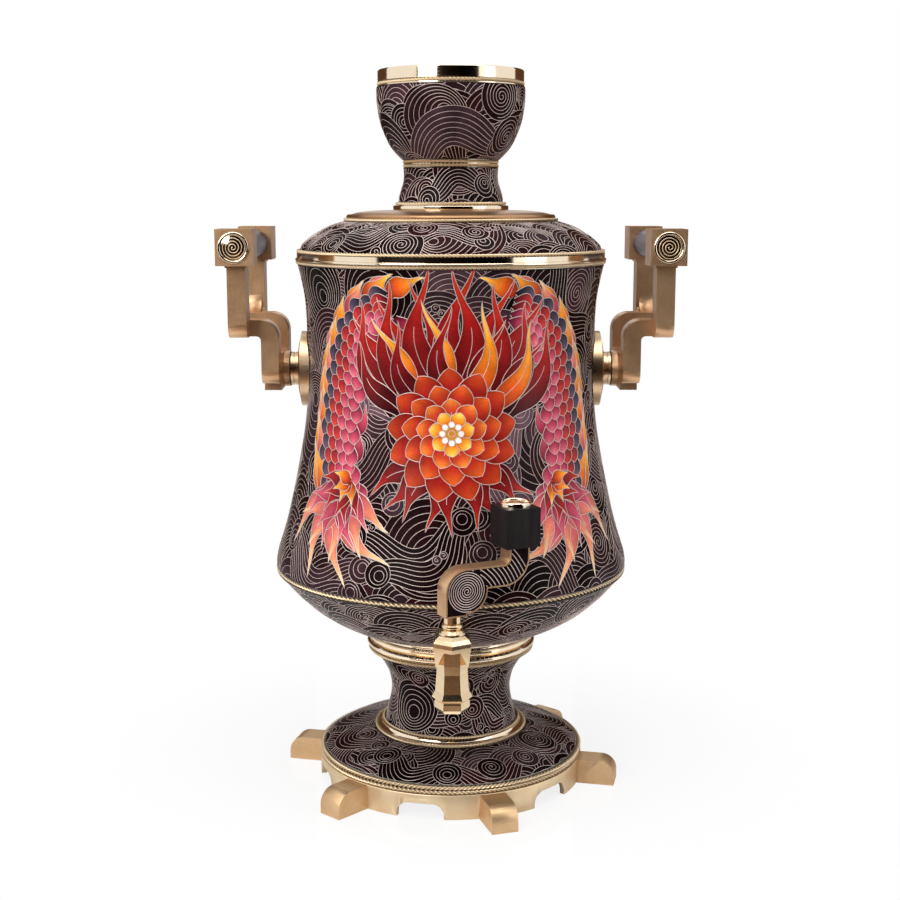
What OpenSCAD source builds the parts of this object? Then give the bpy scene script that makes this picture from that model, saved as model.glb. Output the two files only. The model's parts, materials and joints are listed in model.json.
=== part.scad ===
// Charcoal samovar in enamelled copper and cast brass: a water tank round a fire tube, on a footed
// stand, with a lift-off lid, a lift-off crown, two side handles and a tap with a turning key.
// Z is up, the origin is on the floor under the middle, the tap faces -Y and the handles are on X.

/* [Stand] */
// Outer radius of the skirt ring
skirt_r = 92.6; // [86:0.2:100]
// Height of the skirt ring
skirt_h = 17; // [14:0.5:20]
// Wall of the skirt ring
skirt_wall = 4; // [3:0.5:6]
// Width of an air arch at the floor
arch_w = 31.5; // [24:0.5:36]
// Height of an air arch
arch_h = 10.6; // [8.2:0.2:12]
// Radius of the top corners of an air arch
arch_round = 8; // [3:0.2:8]
// Length by which a foot stands out from the skirt
foot_out = 25.4; // [20:0.2:33]
// Width of a foot
foot_w = 17.8; // [14:0.2:24]
// Height of a foot
foot_h = 16.6; // [12:0.2:16.8]
// Radius of the rounded top end of a foot
foot_round = 10.5; // [4:0.5:11]
// Turn of the ring of feet from the front, towards +X
foot_turn = 17; // [0:1:30]
// Radius of the screws that hold the feet
foot_screw_r = 2; // [1.5:0.1:3]
// Radius of the hole under each foot, for the screw of a felt pad
pad_hole_r = 1.6; // [1.2:0.1:2.2]
// Rise of the domed disc above the skirt
disc_rise = 17.2; // [14:0.2:22]
// Thickness of the domed disc's copper
disc_wall = 2; // [1.6:0.1:3]
// Height of the turned-down edge of the disc, behind the edge ropes
disc_edge = 6; // [5:0.2:8]

/* [Pedestal] */
// Radius of the collar at the foot of the pedestal
collar_r = 51.3; // [49:0.1:56]
// Height of that collar
collar_h = 4.4; // [3.4:0.1:7]
// Radius of the pedestal at its foot
neck_foot_r = 46.6; // [44:0.1:47]
// Radius of the pedestal at its narrowest
neck_waist_r = 41.8; // [38:0.1:44]
// Height of the pedestal
neck_h = 52.9; // [44:0.1:62]
// Thickness of the pedestal's copper
neck_wall = 2; // [1.6:0.1:3]
// Width by which the moulded ring under the bowl stands out from the bowl's bottom
foot_ring_lip = 1.6; // [0.6:0.1:4]
// Height of that moulded ring
foot_ring_h = 15.8; // [13:0.1:20]
// How far the bore of the moulded ring lies inside the edge of the bowl's bottom
foot_ring_in = 11.4; // [9.4:0.1:12.4]
// Width by which the disc and the collar stand in past the pedestal's wall
neck_ledge = 0.6; // [0.2:0.1:3]

/* [Tank] */
// Radius of the tank at the belt, its widest place
belt_r = 121; // [112:0.5:130]
// Height of the bowl between the moulded ring and the belt
bowl_h = 44.9; // [38:0.1:54]
// Radius of the flat bottom of the bowl
bowl_foot_r = 57.4; // [56:0.1:62]
// Radius of the tank at its waist
waist_r = 97.5; // [92:0.5:103]
// Radius of the tank at its mouth
mouth_r = 103.4; // [101:0.1:108]
// Height of the tank between the belt and the mouth
body_h = 207.6; // [185:0.5:230]
// Thickness of the enamelled copper of the tank
tank_wall = 2; // [1.6:0.1:3]
// Depth of the groove in which the belt rope lies
belt_groove = 2.9; // [2:0.1:3.6]
// Opening of the mouth ring
mouth_bore_r = 95; // [92:0.5:97]

/* [Fire tube] */
// Radius of the fire tube at the fire
firebox_r = 44; // [40:0.5:45]
// Radius of the fire tube at its top
flue_r = 26; // [23:0.5:27]
// Height of the wide part above the tank's floor
firebox_h = 82; // [60:1:110]
// Height of the taper between the wide and the narrow part
taper_h = 60; // [40:1:80]
// Wall of the fire tube
flue_wall = 2; // [1.5:0.1:3]
// Width of the ledge under the grate
ledge_w = 5; // [4:0.5:8]
// Thickness of that ledge
ledge_t = 3; // [2:0.5:5]
// Thickness of the grate
grate_t = 3; // [2:0.5:5]
// Width of a slot in the grate
grate_slot = 5; // [3:0.5:7]
// Width of a bar in the grate
grate_bar = 4; // [3:0.5:7]

/* [Lid] */
// Radius of the polished band
band_r = 103.9; // [102:0.1:108]
// Height of the polished band
band_h = 3.6; // [3:0.1:6]
// Rise of the enamelled dome above the band
dome_h = 20.8; // [16:0.1:27]
// Radius of the satin shoulder over its bead
shoulder_r = 70.5; // [64:0.5:76]
// Height of the satin shoulder
shoulder_h = 7.6; // [6.6:0.1:12]
// Thickness of the lid's copper
lid_wall = 1.6; // [1.2:0.1:2.4]
// Depth of the ring that drops into the mouth
spigot_h = 8; // [5:0.5:14]

/* [Crown] */
// Radius of the crown's foot
crown_foot_r = 38.8; // [37:0.1:42]
// Height of the crown's foot
crown_foot_h = 2.9; // [2.4:0.1:5]
// Depth of the crown's sleeve in the lid's hub
sleeve_h = 4.5; // [3:0.5:5]
// Radius of the crown's neck at its narrowest
crown_neck_r = 31.4; // [29.5:0.1:33]
// Height of the crown's neck
crown_neck_h = 24.8; // [19:0.1:30]
// Height of the roped waist above the neck
crown_waist_h = 5.1; // [5:0.1:7]
// Radius of the crown's bowl at its top
crown_r = 49.4; // [45:0.1:54]
// Height of the crown's bowl
crown_bowl_h = 47.4; // [40:0.1:60]
// Thickness of the crown's copper
crown_wall = 1.8; // [1.4:0.1:2.4]
// Radius of the polished rim on which a teapot stands
rim_r = 48.7; // [44.5:0.1:49.2]
// Height of the polished rim
rim_h = 7.6; // [5:0.1:11]
// Width of the polished rim's wall
rim_wall = 3.3; // [3:0.1:4]

/* [Rope wires] */
// Thickness of the two strands round the stand's edge
edge_rope_d = 3; // [2.4:0.1:3]
// Thickness of the rope round the belt
belt_rope_d = 3.2; // [2.6:0.1:3.3]
// Thickness of the ropes round the mouth, the lid, the crown and the pedestal
rope_d = 2.4; // [2:0.1:2.4]

/* [Handles] */
// Height of the handles above the belt
handle_rise = 136; // [115:1:150]
// Radius of a boss on the tank
boss_r = 25.5; // [22:0.5:28]
// Distance from the middle to a boss's outer face
boss_x = 103.2; // [101:0.1:110]
// Thickness of a boss's rim, from the tank outwards
boss_rim = 3.6; // [2:0.1:4.4]
// Radius of the stub on a boss
stub_r = 11.3; // [9:0.1:12.4]
// Length of the stub
stub_l = 5.7; // [4:0.1:10]
// Thickness of the black washer
washer_t = 0.8; // [0.5:0.1:2]
// Height and depth of the yoke's base block
base_block = 24.2; // [23.4:0.1:30]
// Thickness of the yoke's base block along X
base_block_t = 15.2; // [13:0.1:20]
// Thickness of an arm along X
arm_x = 11.4; // [9:0.1:12.6]
// Thickness of an arm along Y
arm_y = 17; // [13:0.5:20]
// Half of the space between the two lower arms
arm_gap = 24; // [20:0.5:28]
// Step outwards along Y from the lower to the upper arm
arm_step = 17.2; // [14:0.1:20]
// Step outwards along X from the lower to the upper arm
arm_out = 18.3; // [16:0.1:24]
// Height of the step above the handle's axis, to its top
arm_rise = 36.2; // [30:0.1:44]
// Thickness of the step
step_t = 10.7; // [9.4:0.1:14]
// Radius of the rounded lower ends of the arms
arm_round = 9; // [5:0.5:9]
// Radius of the fillet under the step
step_fillet = 3; // [1:0.5:5]
// Width by which the fillet behind an upper arm is set back from the arm's inner face
fillet_in = 2; // [0.5:0.1:3]
// Height from the handle's axis to the grip's axis
grip_rise = 84; // [72:0.5:96]
// Thickness of the lip between an arm and its end block
lip_t = 1.5; // [1:0.1:3]
// Width by which that lip stands out
lip_w = 1; // [0.4:0.1:2]
// Width and height of an end block
block_w = 23.2; // [20:0.1:26]
// Length of an end block along Y
block_l = 27; // [22:0.5:32]
// Radius of the wooden grip
grip_r = 9.7; // [8:0.1:10.8]
// Radius of the rod through the grip
rod_r = 3; // [2:0.1:4]
// Radius of a spiral cap
cap_r = 9.9; // [8:0.1:9.9]
// Height of a spiral cap
cap_h = 1.4; // [1:0.1:3]
// Radius of the bolt that holds a yoke
bolt_r = 4; // [3:0.1:5]
// Depth by which that bolt reaches into the yoke
bolt_in = 8; // [6:0.5:10]

/* [Tap] */
// Distance from the belt to the tap's upright axis
tap_overhang = 18; // [17:0.5:26]
// Height of the tap's inlet above the bowl's bottom
inlet_rise = 20.5; // [19.5:0.1:25]
// Radius of the inlet
inlet_bore_r = 4.2; // [3.5:0.1:4.8]
// Radius of the inlet pipe
inlet_r = 6.1; // [5.6:0.1:6.2]
// Radius of the boss on the bowl
tap_boss_r = 11; // [10:0.1:12]
// Radius of the tap's six-sided housing, over its corners
housing_r = 13.3; // [13:0.1:14]
// Radius of the turning plug
plug_r = 7; // [6.4:0.1:7]
// Radius of the spout's bore
spout_bore_r = 5.5; // [4:0.1:6]
// Length of the spout below the inlet's axis
spout_l = 35.2; // [34:0.2:40]
// Radius of the six-sided spout over its corners, where it is narrowest
spout_r = 9.5; // [9.2:0.1:10]
// Radius of the spout's flare over its corners
flare_r = 12.3; // [11.4:0.1:13.4]
// Height of the band at the spout's tip
tip_h = 6.6; // [5:0.1:8]
// Radius of the stem
stem_r = 5.2; // [4.4:0.1:5.4]
// Radius of the flared collar on the stem, under its bead
bead_r = 8.1; // [7.6:0.1:9]
// Thickness of the key's blade
key_t = 12.6; // [10.8:0.2:13]
// Radius of the round head of the blade
head_r = 14.1; // [12:0.1:16]
// Width of the blade's band
band_w = 13.7; // [11:0.1:16]
// Distance from the stem's axis to the knob's
key_l = 43; // [39:0.5:46]
// Inner radius of the blade's bend
bend_r = 3.7; // [2.5:0.1:6]
// Width of the wooden knob
knob_w = 22.9; // [18:0.2:25]
// Height of the wooden knob
knob_h = 24.4; // [20:0.2:30]
// Height of the knob's spiral cap
knob_cap_h = 3.2; // [2:0.1:5]
// Turn of the closed key from +X, away from the front
key_turn = 25; // [0:1:30]

/* [Fits] */
// Gap between pieces that lift apart or pass each other
lift_gap = 0.3; // [0.2:0.05:0.5]
// Gap round a turning shaft
run_fit = 0.05; // [0.01:0.01:0.1]
// Gap beside a rope wire in its seat
rope_gap = 0.1; // [0.05:0.05:0.3]

/* [Hidden] */
$fn = 96;
SATIN = "#c9a57a";
POLISHED = "#d9b98c";
ENAMEL = "#241418";
WOOD = "#2b2629";
GRIP_WOOD = "#4b4250";
WIRE = "#cdb899";
COPPER = "#b87a56";
IRON = "#4a4744";
FIBRE = "#171314";

// Steps on each stretch of a smooth outline, and on a quarter of a moulding
SMOOTH = 6;
MOULD = 5;
FEET = 6;
EPS = 0.01;

// Heights of the joints between the pieces, from the floor up
disc_z = skirt_h + disc_rise;
foot_reach = skirt_r + foot_out;
foot_ring_r = bowl_foot_r + foot_ring_lip;
foot_ring_bore_r = bowl_foot_r - foot_ring_in;
foot_web_r = foot_ring_r - 3.4;
neck_z = disc_z + collar_h;
foot_ring_z = neck_z + neck_h;
bowl_z = foot_ring_z + foot_ring_h;
belt_z = bowl_z + bowl_h;
mouth_z = belt_z + body_h;
mouth_web_h = rope_d + rope_gap;
lip_h = 1.2;
lid_z = mouth_z + mouth_web_h + lip_h;
dome_z = lid_z + band_h;
shoulder_z = dome_z + dome_h;
crown_z = shoulder_z + shoulder_h;
crown_neck_z = crown_z + crown_foot_h;
crown_waist_z = crown_neck_z + crown_neck_h;
crown_bowl_z = crown_waist_z + crown_waist_h;
rim_z = crown_bowl_z + crown_bowl_h;
rim_lip_h = 0.8;
rim_web_h = rim_lip_h + rope_d + rope_gap;
top_z = rim_z + rim_web_h + rim_h;

// Radii that follow from the seats
disc_r = skirt_r - edge_rope_d + rope_gap;
neck_bore_r = neck_foot_r - neck_wall - neck_ledge;
groove_half = belt_rope_d / 2 + rope_gap;
belt_seat_r = belt_r - belt_groove;
mouth_web_r = mouth_r - 1.1;
spigot_r = mouth_bore_r - lift_gap;
spigot_wall = 2;
dome_r = band_r - rope_d + rope_gap;
hub_bore_r = flue_r + 3.3;
hub_wall = 4;
crown_neck_foot_r = crown_neck_r + 3.5;
waist_ring_wall = 1.6;
crown_waist_core_r = crown_neck_r - 1.6;
crown_bowl_foot_r = crown_neck_r + 0.8;
rim_bore_r = rim_r - rim_wall;
rim_web_r = rim_bore_r + 1.4;
rim_lip_r = crown_r - 0.5;
flue_top_z = crown_z - sleeve_h - 1;

// Places of the handle
handle_z = belt_z + handle_rise;
yoke_x = boss_x + stub_l + washer_t;
arm_low_x = yoke_x + base_block_t - arm_x;
arm_high_x = arm_low_x + arm_out;
arm_high_w = arm_x + 0.6;
arm_low_y = arm_gap;
arm_high_y = arm_gap + arm_step;
step_z = handle_z + arm_rise;
grip_x = arm_high_x + arm_high_w / 2;
grip_z = handle_z + grip_rise;
block_z = grip_z - block_w / 2;
arm_foot_z = handle_z - base_block / 2 + 5.6;
rod_in = 0.6;

// Places of the tap
tap_y = belt_r + tap_overhang;
inlet_z = bowl_z + inlet_rise;
tap_boss_y = tap_y - 23;
seal_t = 1.2;
housing_top_z = inlet_z + 6.4;
roof_h = 6.7;
roof_z = housing_top_z + roof_h;
plug_top_z = housing_top_z - lift_gap;
plug_l = 20.9;
bead_z = roof_z + lift_gap;
bead_h = 7;
key_z = bead_z + bead_h + 4.5;
head_x = head_r - 7;
head_z = key_z + head_r + 1.3;
band_z = head_z + head_r - band_w;
bend_x = key_l - band_w / 2 - bend_r;
bend_z = band_z + band_w + bend_r;
knob_z = bend_z + 6.6;
tenon_r = 3;
tenon_l = 12;

// A point at the share t of the way from a to b
function mix(a, b, t) = a + (b - a) * t;

// A smooth curve through the points p, with SMOOTH steps between neighbours
function knot(a, b, c, d, t) =
  0.5 * (2 * b + (c - a) * t + (2 * a - 5 * b + 4 * c - d) * t * t + (3 * b - a - 3 * c + d) * t * t * t);
function smooth(p) = [
  for (i = [0 : len(p) - 2]) for (j = [0 : SMOOTH - 1])
    knot(p[max(i - 1, 0)], p[i], p[i + 1], p[min(i + 2, len(p) - 1)], j / SMOOTH),
  p[len(p) - 1]
];

// The points p in the other order
function back(p) = [for (i = [len(p) - 1 : -1 : 0]) p[i]];

// The outline p moved by w to its left, which is inwards for an outline that runs upwards
function inside(p, w) = [
  for (i = [0 : len(p) - 1])
    let (d = p[min(i + 1, len(p) - 1)] - p[max(i - 1, 0)])
    p[i] + w * [-d.y, d.x] / norm(d)
];

// The inner face of the wall w behind the outline p, kept between the heights z1 and z2
function inner_face(p, w, z1, z2) = back([for (q = inside(p, w)) if (q.y > z1 && q.y < z2) q]);

// Points of an arc round c, with radii rx and rz, from angle a to angle b
function arc(c, rx, rz, a, b) = [
  for (i = [0 : MOULD]) let (t = mix(a, b, i / MOULD)) c + [rx * cos(t), rz * sin(t)]
];

// Height for each share of a stretch, and radius for each share of a flare
function outline(z, h, r, flare, shares) = [for (s = shares) [r + flare * s[0], z + h * s[1]]];

// Outline of the tank between the belt and the mouth
LOWER_SHARES = [[1, 0.0085], [0.953, 0.052], [0.62, 0.178], [0.238, 0.38], [0.03, 0.545], [0, 0.71]];
UPPER_SHARES = [[0.136, 0.866], [0.56, 0.946], [1, 1]];
body_curve = smooth(concat(
  outline(belt_z, body_h, waist_r, belt_r - waist_r, LOWER_SHARES),
  outline(belt_z, body_h, waist_r, mouth_r - waist_r, UPPER_SHARES)
));

// Outline of the bowl between its flat bottom and the belt
BOWL_SHARES = [[0, 0], [0.239, 0.097], [0.556, 0.35], [0.79, 0.64], [0.94, 0.88], [1, 0.963]];
bowl_curve = smooth(outline(bowl_z, bowl_h, bowl_foot_r, belt_r - bowl_foot_r, BOWL_SHARES));

// Outline of the domed disc, from its edge to the collar
DISC_SHARES = [[1, 0], [0.83, 0.34], [0.6, 0.63], [0.34, 0.85], [0.06, 1]];
disc_curve = smooth(outline(skirt_h + disc_edge, disc_rise - disc_edge, collar_r, disc_r - collar_r,
  DISC_SHARES));

// Outline of the pedestal between the collar and the moulded ring
neck_top_r = foot_ring_r - 3.2;
NECK_FOOT_SHARES = [[1, 0], [0.45, 0.19], [0.05, 0.36], [0, 0.5]];
NECK_TOP_SHARES = [[0.13, 0.67], [0.32, 0.78], [0.61, 0.9], [1, 1]];
neck_curve = smooth(concat(
  outline(neck_z, neck_h, neck_waist_r, neck_foot_r - neck_waist_r, NECK_FOOT_SHARES),
  outline(neck_z, neck_h, neck_waist_r, neck_top_r - neck_waist_r, NECK_TOP_SHARES)
));

// Outline of the lid's dome, from the band to the satin shoulder
dome_top_r = shoulder_r + 1.8;
DOME_SHARES = [[1, 0], [0.97, 0.22], [0.85, 0.4], [0.7, 0.56], [0.35, 0.84], [0, 1]];
dome_curve = smooth(outline(dome_z, dome_h, dome_top_r, dome_r - dome_top_r, DOME_SHARES));

// Outline of the crown's neck and bowl
CROWN_NECK_SHARES = [[1, 0], [0.97, 0.2], [0.55, 0.42], [0.12, 0.61], [0, 0.8], [0.1, 1]];
crown_neck_curve = smooth(outline(crown_neck_z, crown_neck_h, crown_neck_r,
  crown_neck_foot_r - crown_neck_r, CROWN_NECK_SHARES));
CROWN_SHARES = [[0, 0], [0.27, 0.1], [0.53, 0.225], [0.85, 0.5], [0.98, 0.76], [1, 0.9], [1, 1]];
crown_curve = smooth(outline(crown_bowl_z, crown_bowl_h, crown_bowl_foot_r,
  crown_r - crown_bowl_foot_r, CROWN_SHARES));

// Greatest radius of the tank behind a boss, on which the boss is seated
boss_seat_r = max([for (p = body_curve) if (abs(p.y - handle_z) <= boss_r) p.x]);

module turned(p) {
  rotate_extrude() polygon(p);
}

module rope_ring(r, z, d) {
  rotate_extrude() translate([r, z]) circle(d = d, $fn = 24);
}

module tube(r_out, r_in, z, h) {
  translate([0, 0, z]) difference() {
    cylinder(r = r_out, h = h);
    translate([0, 0, -EPS]) cylinder(r = r_in, h = h + 2 * EPS);
  }
}

// Places what follows at foot i of the ring, with +X pointing outwards
module at_foot(i) {
  rotate([0, 0, foot_turn - 90 + i * 360 / FEET]) children();
}

// A plate in the XZ plane, from y to y + t
module upright(y, t) {
  translate([0, y + t, 0]) rotate([90, 0, 0]) linear_extrude(t) children();
}

// ---- Stand ----

module arch_profile() {
  translate([-arch_w / 2, -1]) square([arch_w, arch_h - arch_round + 1]);
  translate([-arch_w / 2 + arch_round, -1]) square([arch_w - 2 * arch_round, arch_h + 1]);
  for (s = [-1, 1]) translate([s * (arch_w / 2 - arch_round), arch_h - arch_round]) circle(arch_round);
}

// A round bar of radius r through each of the two screw places of a foot, from x1 to x2
module screw_bars(r, x1, x2) {
  for (y = [-foot_w / 4, foot_w / 4])
    translate([x1, y, foot_h / 2]) rotate([0, 90, 0]) cylinder(r = r, h = x2 - x1);
}

module base_skirt() {
  color(SATIN) difference() {
    tube(skirt_r, skirt_r - skirt_wall, 0, skirt_h);
    for (i = [0 : FEET - 1]) {
      at_foot(i + 0.5) translate([skirt_r - 2 * skirt_wall, 0, 0]) rotate([90, 0, 90])
        linear_extrude(3 * skirt_wall) arch_profile();
      at_foot(i) screw_bars(foot_screw_r, skirt_r - 2 * skirt_wall, skirt_r + 1);
    }
  }
}

screw_head_r = foot_screw_r * 1.9;
screw_head_x = sqrt(pow(skirt_r - skirt_wall, 2) - pow(foot_w / 4 + screw_head_r, 2));
screw_end_x = skirt_r + 12;
pad_hole_l = foot_h / 2 - foot_screw_r - 1.3;

module foot(i) {
  color(SATIN) at_foot(i) difference() {
    translate([0, foot_w / 2, 0]) rotate([90, 0, 0]) linear_extrude(foot_w) {
      translate([skirt_r - skirt_wall, 0])
        square([foot_reach - skirt_r + skirt_wall, foot_h - foot_round]);
      translate([skirt_r - skirt_wall, 0])
        square([foot_reach - foot_round - skirt_r + skirt_wall, foot_h]);
      intersection() {
        translate([foot_reach - foot_round, foot_h - foot_round]) circle(foot_round);
        translate([foot_reach - foot_round, foot_h - foot_round]) square(foot_round);
      }
    }
    translate([0, 0, -1]) cylinder(r = skirt_r, h = foot_h + 2);
    screw_bars(foot_screw_r, skirt_r - 2 * skirt_wall, screw_end_x);
    translate([skirt_r + foot_out / 2, 0, -1]) cylinder(r = pad_hole_r, h = pad_hole_l + 1);
  }
}

module foot_screws() {
  color(IRON) for (i = [0 : FEET - 1]) at_foot(i) {
    screw_bars(foot_screw_r, screw_head_x, screw_end_x);
    screw_bars(screw_head_r, screw_head_x - foot_screw_r * 1.2, screw_head_x);
  }
}

module base_disc() {
  color(ENAMEL) turned(concat(
    [[disc_r, skirt_h]], disc_curve, [[neck_bore_r, disc_z], [neck_bore_r, disc_z - disc_wall]],
    inner_face(disc_curve, disc_wall, skirt_h + disc_edge - disc_wall, disc_z - disc_wall),
    [[disc_r - disc_wall, skirt_h + disc_edge - disc_wall], [disc_r - disc_wall, skirt_h]]
  ));
}

module edge_ropes() {
  at_r = disc_r + edge_rope_d / 2 + rope_gap;
  color(WIRE) for (k = [0.5, 1.5])
    rope_ring(at_r, skirt_h + rope_gap + k * edge_rope_d, edge_rope_d - rope_gap);
}

// ---- Pedestal ----

collar_top_r = neck_foot_r + rope_d * 0.85 + rope_gap;

module base_collar() {
  cove_z = disc_z + rope_d * 0.8;
  cove_h = collar_h - rope_d * 0.8;
  color(POLISHED) turned(concat(
    [[neck_bore_r, disc_z], [collar_r, disc_z]],
    arc([collar_r + EPS, disc_z + collar_h], collar_r - collar_top_r, cove_h, -90, -180),
    [[neck_bore_r, disc_z + collar_h]]
  ));
}

module collar_ropes() {
  color(WIRE) {
    rope_ring(collar_r + rope_d / 2 + rope_gap, disc_z + rope_d / 2 + rope_gap, rope_d);
    rope_ring(neck_foot_r + rope_d * 0.425 + rope_gap, neck_z + rope_d * 0.425 + rope_gap, rope_d * 0.85);
  }
}

module pedestal_neck() {
  color(ENAMEL) turned(concat(
    neck_curve, [[neck_top_r - neck_wall - 1, foot_ring_z]],
    inner_face(neck_curve, neck_wall, neck_z + 1, foot_ring_z - 1), [[neck_foot_r - neck_wall, neck_z]]
  ));
}

module foot_ring() {
  bead_z0 = foot_ring_z + rope_d + 2 * rope_gap;
  rest_h = foot_ring_h - rope_d - 2 * rope_gap;
  bead_half = rest_h * 0.215;
  lip_z = bead_z0 + rest_h * 0.5;
  cove_z = lip_z + rest_h * 0.16;
  color(POLISHED) turned(concat(
    [[foot_ring_bore_r, foot_ring_z], [foot_web_r, foot_ring_z], [foot_web_r, bead_z0]],
    arc([foot_web_r + 0.3, bead_z0 + bead_half], foot_ring_r - foot_web_r - 0.3, bead_half, -90, 90),
    [[foot_web_r, lip_z - rest_h * 0.05], [foot_web_r, lip_z]],
    [[foot_ring_r - 1.4, lip_z], [foot_ring_r - 1.4, cove_z]],
    arc([bowl_foot_r, (cove_z + bowl_z) / 2], -1.7, (bowl_z - cove_z) / 2, -90, 90),
    [[bowl_foot_r, bowl_z], [foot_ring_bore_r, bowl_z]]
  ));
}

module foot_rope() {
  off = rope_d / 2 + rope_gap;
  color(WIRE) rope_ring(foot_web_r + off, foot_ring_z + off, rope_d);
}

// ---- Tank ----

module tank_bowl() {
  seat_in_r = belt_seat_r - tank_wall;
  color(ENAMEL) difference() {
    turned(concat(
      [[firebox_r, bowl_z]], bowl_curve,
      [[belt_r, belt_z - groove_half], [belt_seat_r, belt_z - groove_half], [belt_seat_r, belt_z]],
      [[seat_in_r, belt_z]],
      [for (p = inner_face(bowl_curve, tank_wall, bowl_z + tank_wall, belt_z - 1)) if (p.x < seat_in_r) p],
      [[firebox_r, bowl_z + tank_wall]]
    ));
    tap_drill(inlet_bore_r + 1.5);
  }
}

module belt_rope() {
  color(WIRE) rope_ring(belt_seat_r + belt_rope_d / 2 + rope_gap / 2, belt_z, belt_rope_d);
}

module tank_shell() {
  seat_in_r = belt_seat_r - tank_wall;
  color(ENAMEL) difference() {
    turned(concat(
      [[belt_seat_r, belt_z], [belt_seat_r, belt_z + groove_half], [belt_r, belt_z + groove_half]],
      body_curve,
      [[mouth_r - tank_wall, mouth_z]],
      [for (p = inner_face(body_curve, tank_wall, belt_z + 1, mouth_z - 1)) [min(p.x, seat_in_r), p.y]],
      [[seat_in_r, belt_z]]
    ));
    for (s = [-1, 1]) translate([s * waist_r / 2, 0, handle_z]) rotate([0, s * 90, 0])
      cylinder(r = bolt_r, h = waist_r);
  }
}

module mouth_ring() {
  web_z = mouth_z + mouth_web_h;
  color(POLISHED) turned([
    [mouth_bore_r, mouth_z], [mouth_web_r, mouth_z], [mouth_web_r, web_z],
    [band_r + 1, web_z], [band_r + 1, lid_z - 0.3], [band_r + 0.7, lid_z], [mouth_bore_r, lid_z]
  ]);
}

module mouth_rope() {
  color(WIRE) rope_ring(mouth_web_r + rope_d / 2 + rope_gap / 2, mouth_z + mouth_web_h / 2, rope_d);
}

// ---- Fire tube ----

module flue_tube() {
  ledge_r = firebox_r - ledge_w;
  ledge_z = bowl_z + ledge_t;
  wide_z = bowl_z + firebox_h;
  tapered_z = wide_z + taper_h;
  color(COPPER) turned([
    [ledge_r, bowl_z], [firebox_r, bowl_z], [firebox_r, wide_z], [flue_r, tapered_z],
    [flue_r, flue_top_z], [flue_r - flue_wall, flue_top_z], [flue_r - flue_wall, tapered_z],
    [firebox_r - flue_wall, wide_z], [firebox_r - flue_wall, ledge_z], [ledge_r, ledge_z]
  ]);
}

module grate() {
  r = firebox_r - flue_wall - lift_gap;
  pitch = grate_slot + grate_bar;
  rows = floor((r - grate_bar) / pitch);
  color(IRON) translate([0, 0, bowl_z + ledge_t]) difference() {
    cylinder(r = r, h = grate_t);
    for (k = [-rows : rows]) {
      half = sqrt(pow(r - grate_bar, 2) - pow(abs(k) * pitch + grate_slot / 2, 2));
      if (half > grate_slot) translate([-half, k * pitch - grate_slot / 2, -1])
        cube([2 * half, grate_slot, grate_t + 2]);
    }
  }
}

// ---- Lid ----

module lid_band() {
  spigot_in_r = spigot_r - spigot_wall;
  color(POLISHED) turned([
    [spigot_in_r, lid_z - spigot_h], [spigot_r - 0.6, lid_z - spigot_h], [spigot_r, lid_z - spigot_h + 1.5],
    [spigot_r, lid_z], [band_r, lid_z], [band_r, dome_z], [spigot_in_r, dome_z]
  ]);
}

module lid_rope() {
  color(WIRE) rope_ring(dome_r + rope_d / 2 + rope_gap, dome_z + rope_d / 2 + rope_gap / 2, rope_d);
}

module lid_dome() {
  color(ENAMEL) turned(concat(
    dome_curve, [[hub_bore_r, shoulder_z], [hub_bore_r, shoulder_z - lid_wall]],
    inner_face(dome_curve, lid_wall, dome_z + 1, shoulder_z - lid_wall), [[dome_r - lid_wall - 0.2, dome_z]]
  ));
}

module lid_shoulder() {
  bead = 1.9;
  top_curve = smooth([
    [shoulder_r - 3.2, shoulder_z + 4.6],
    [mix(crown_foot_r, shoulder_r, 0.72), mix(shoulder_z, crown_z, 0.8)],
    [mix(crown_foot_r, shoulder_r, 0.36), mix(shoulder_z, crown_z, 0.95)],
    [crown_foot_r, crown_z]
  ]);
  under = [for (p = top_curve) p - [0, 2.2]];
  color(SATIN) turned(concat(
    [[hub_bore_r, shoulder_z], [hub_bore_r + hub_wall, shoulder_z], [hub_bore_r + hub_wall, crown_z - 2.2]],
    back(under),
    [[shoulder_r - 4.6, shoulder_z], [shoulder_r - 0.4, shoulder_z], [shoulder_r - 0.4, shoulder_z + 0.9]],
    arc([shoulder_r - bead, shoulder_z + 0.9 + bead], bead, bead, -60, 110),
    top_curve, [[hub_bore_r, crown_z]]
  ));
}

module shoulder_rope() {
  d = rope_d * 0.92;
  color(WIRE) rope_ring(shoulder_r - 0.4 + d / 2 + rope_gap, shoulder_z + d / 2 + rope_gap, d);
}

// ---- Crown ----

module crown_foot() {
  sleeve_r = hub_bore_r - lift_gap;
  color(POLISHED) turned([
    [sleeve_r - 1.4, crown_z - sleeve_h], [sleeve_r, crown_z - sleeve_h], [sleeve_r, crown_z],
    [crown_foot_r - 0.4, crown_z],
    [crown_foot_r, crown_z + 0.4], [crown_foot_r, crown_neck_z - 0.5], [crown_foot_r - 0.5, crown_neck_z],
    [sleeve_r - 1.4, crown_neck_z]
  ]);
}

module neck_rope() {
  at_r = crown_neck_foot_r + rope_d / 2 + rope_gap;
  color(WIRE) rope_ring(at_r, crown_neck_z + rope_d / 2 + rope_gap / 2, rope_d);
}

module crown_neck() {
  color(ENAMEL) turned(concat(
    crown_neck_curve, [[crown_waist_core_r - waist_ring_wall, crown_waist_z]],
    inner_face(crown_neck_curve, crown_wall, crown_neck_z + 1, crown_waist_z - 1),
    [[crown_neck_foot_r - crown_wall, crown_neck_z]]
  ));
}

module waist_ring() {
  core_r = crown_waist_core_r;
  color(POLISHED) tube(core_r, core_r - waist_ring_wall, crown_waist_z, crown_waist_h);
}

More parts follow.
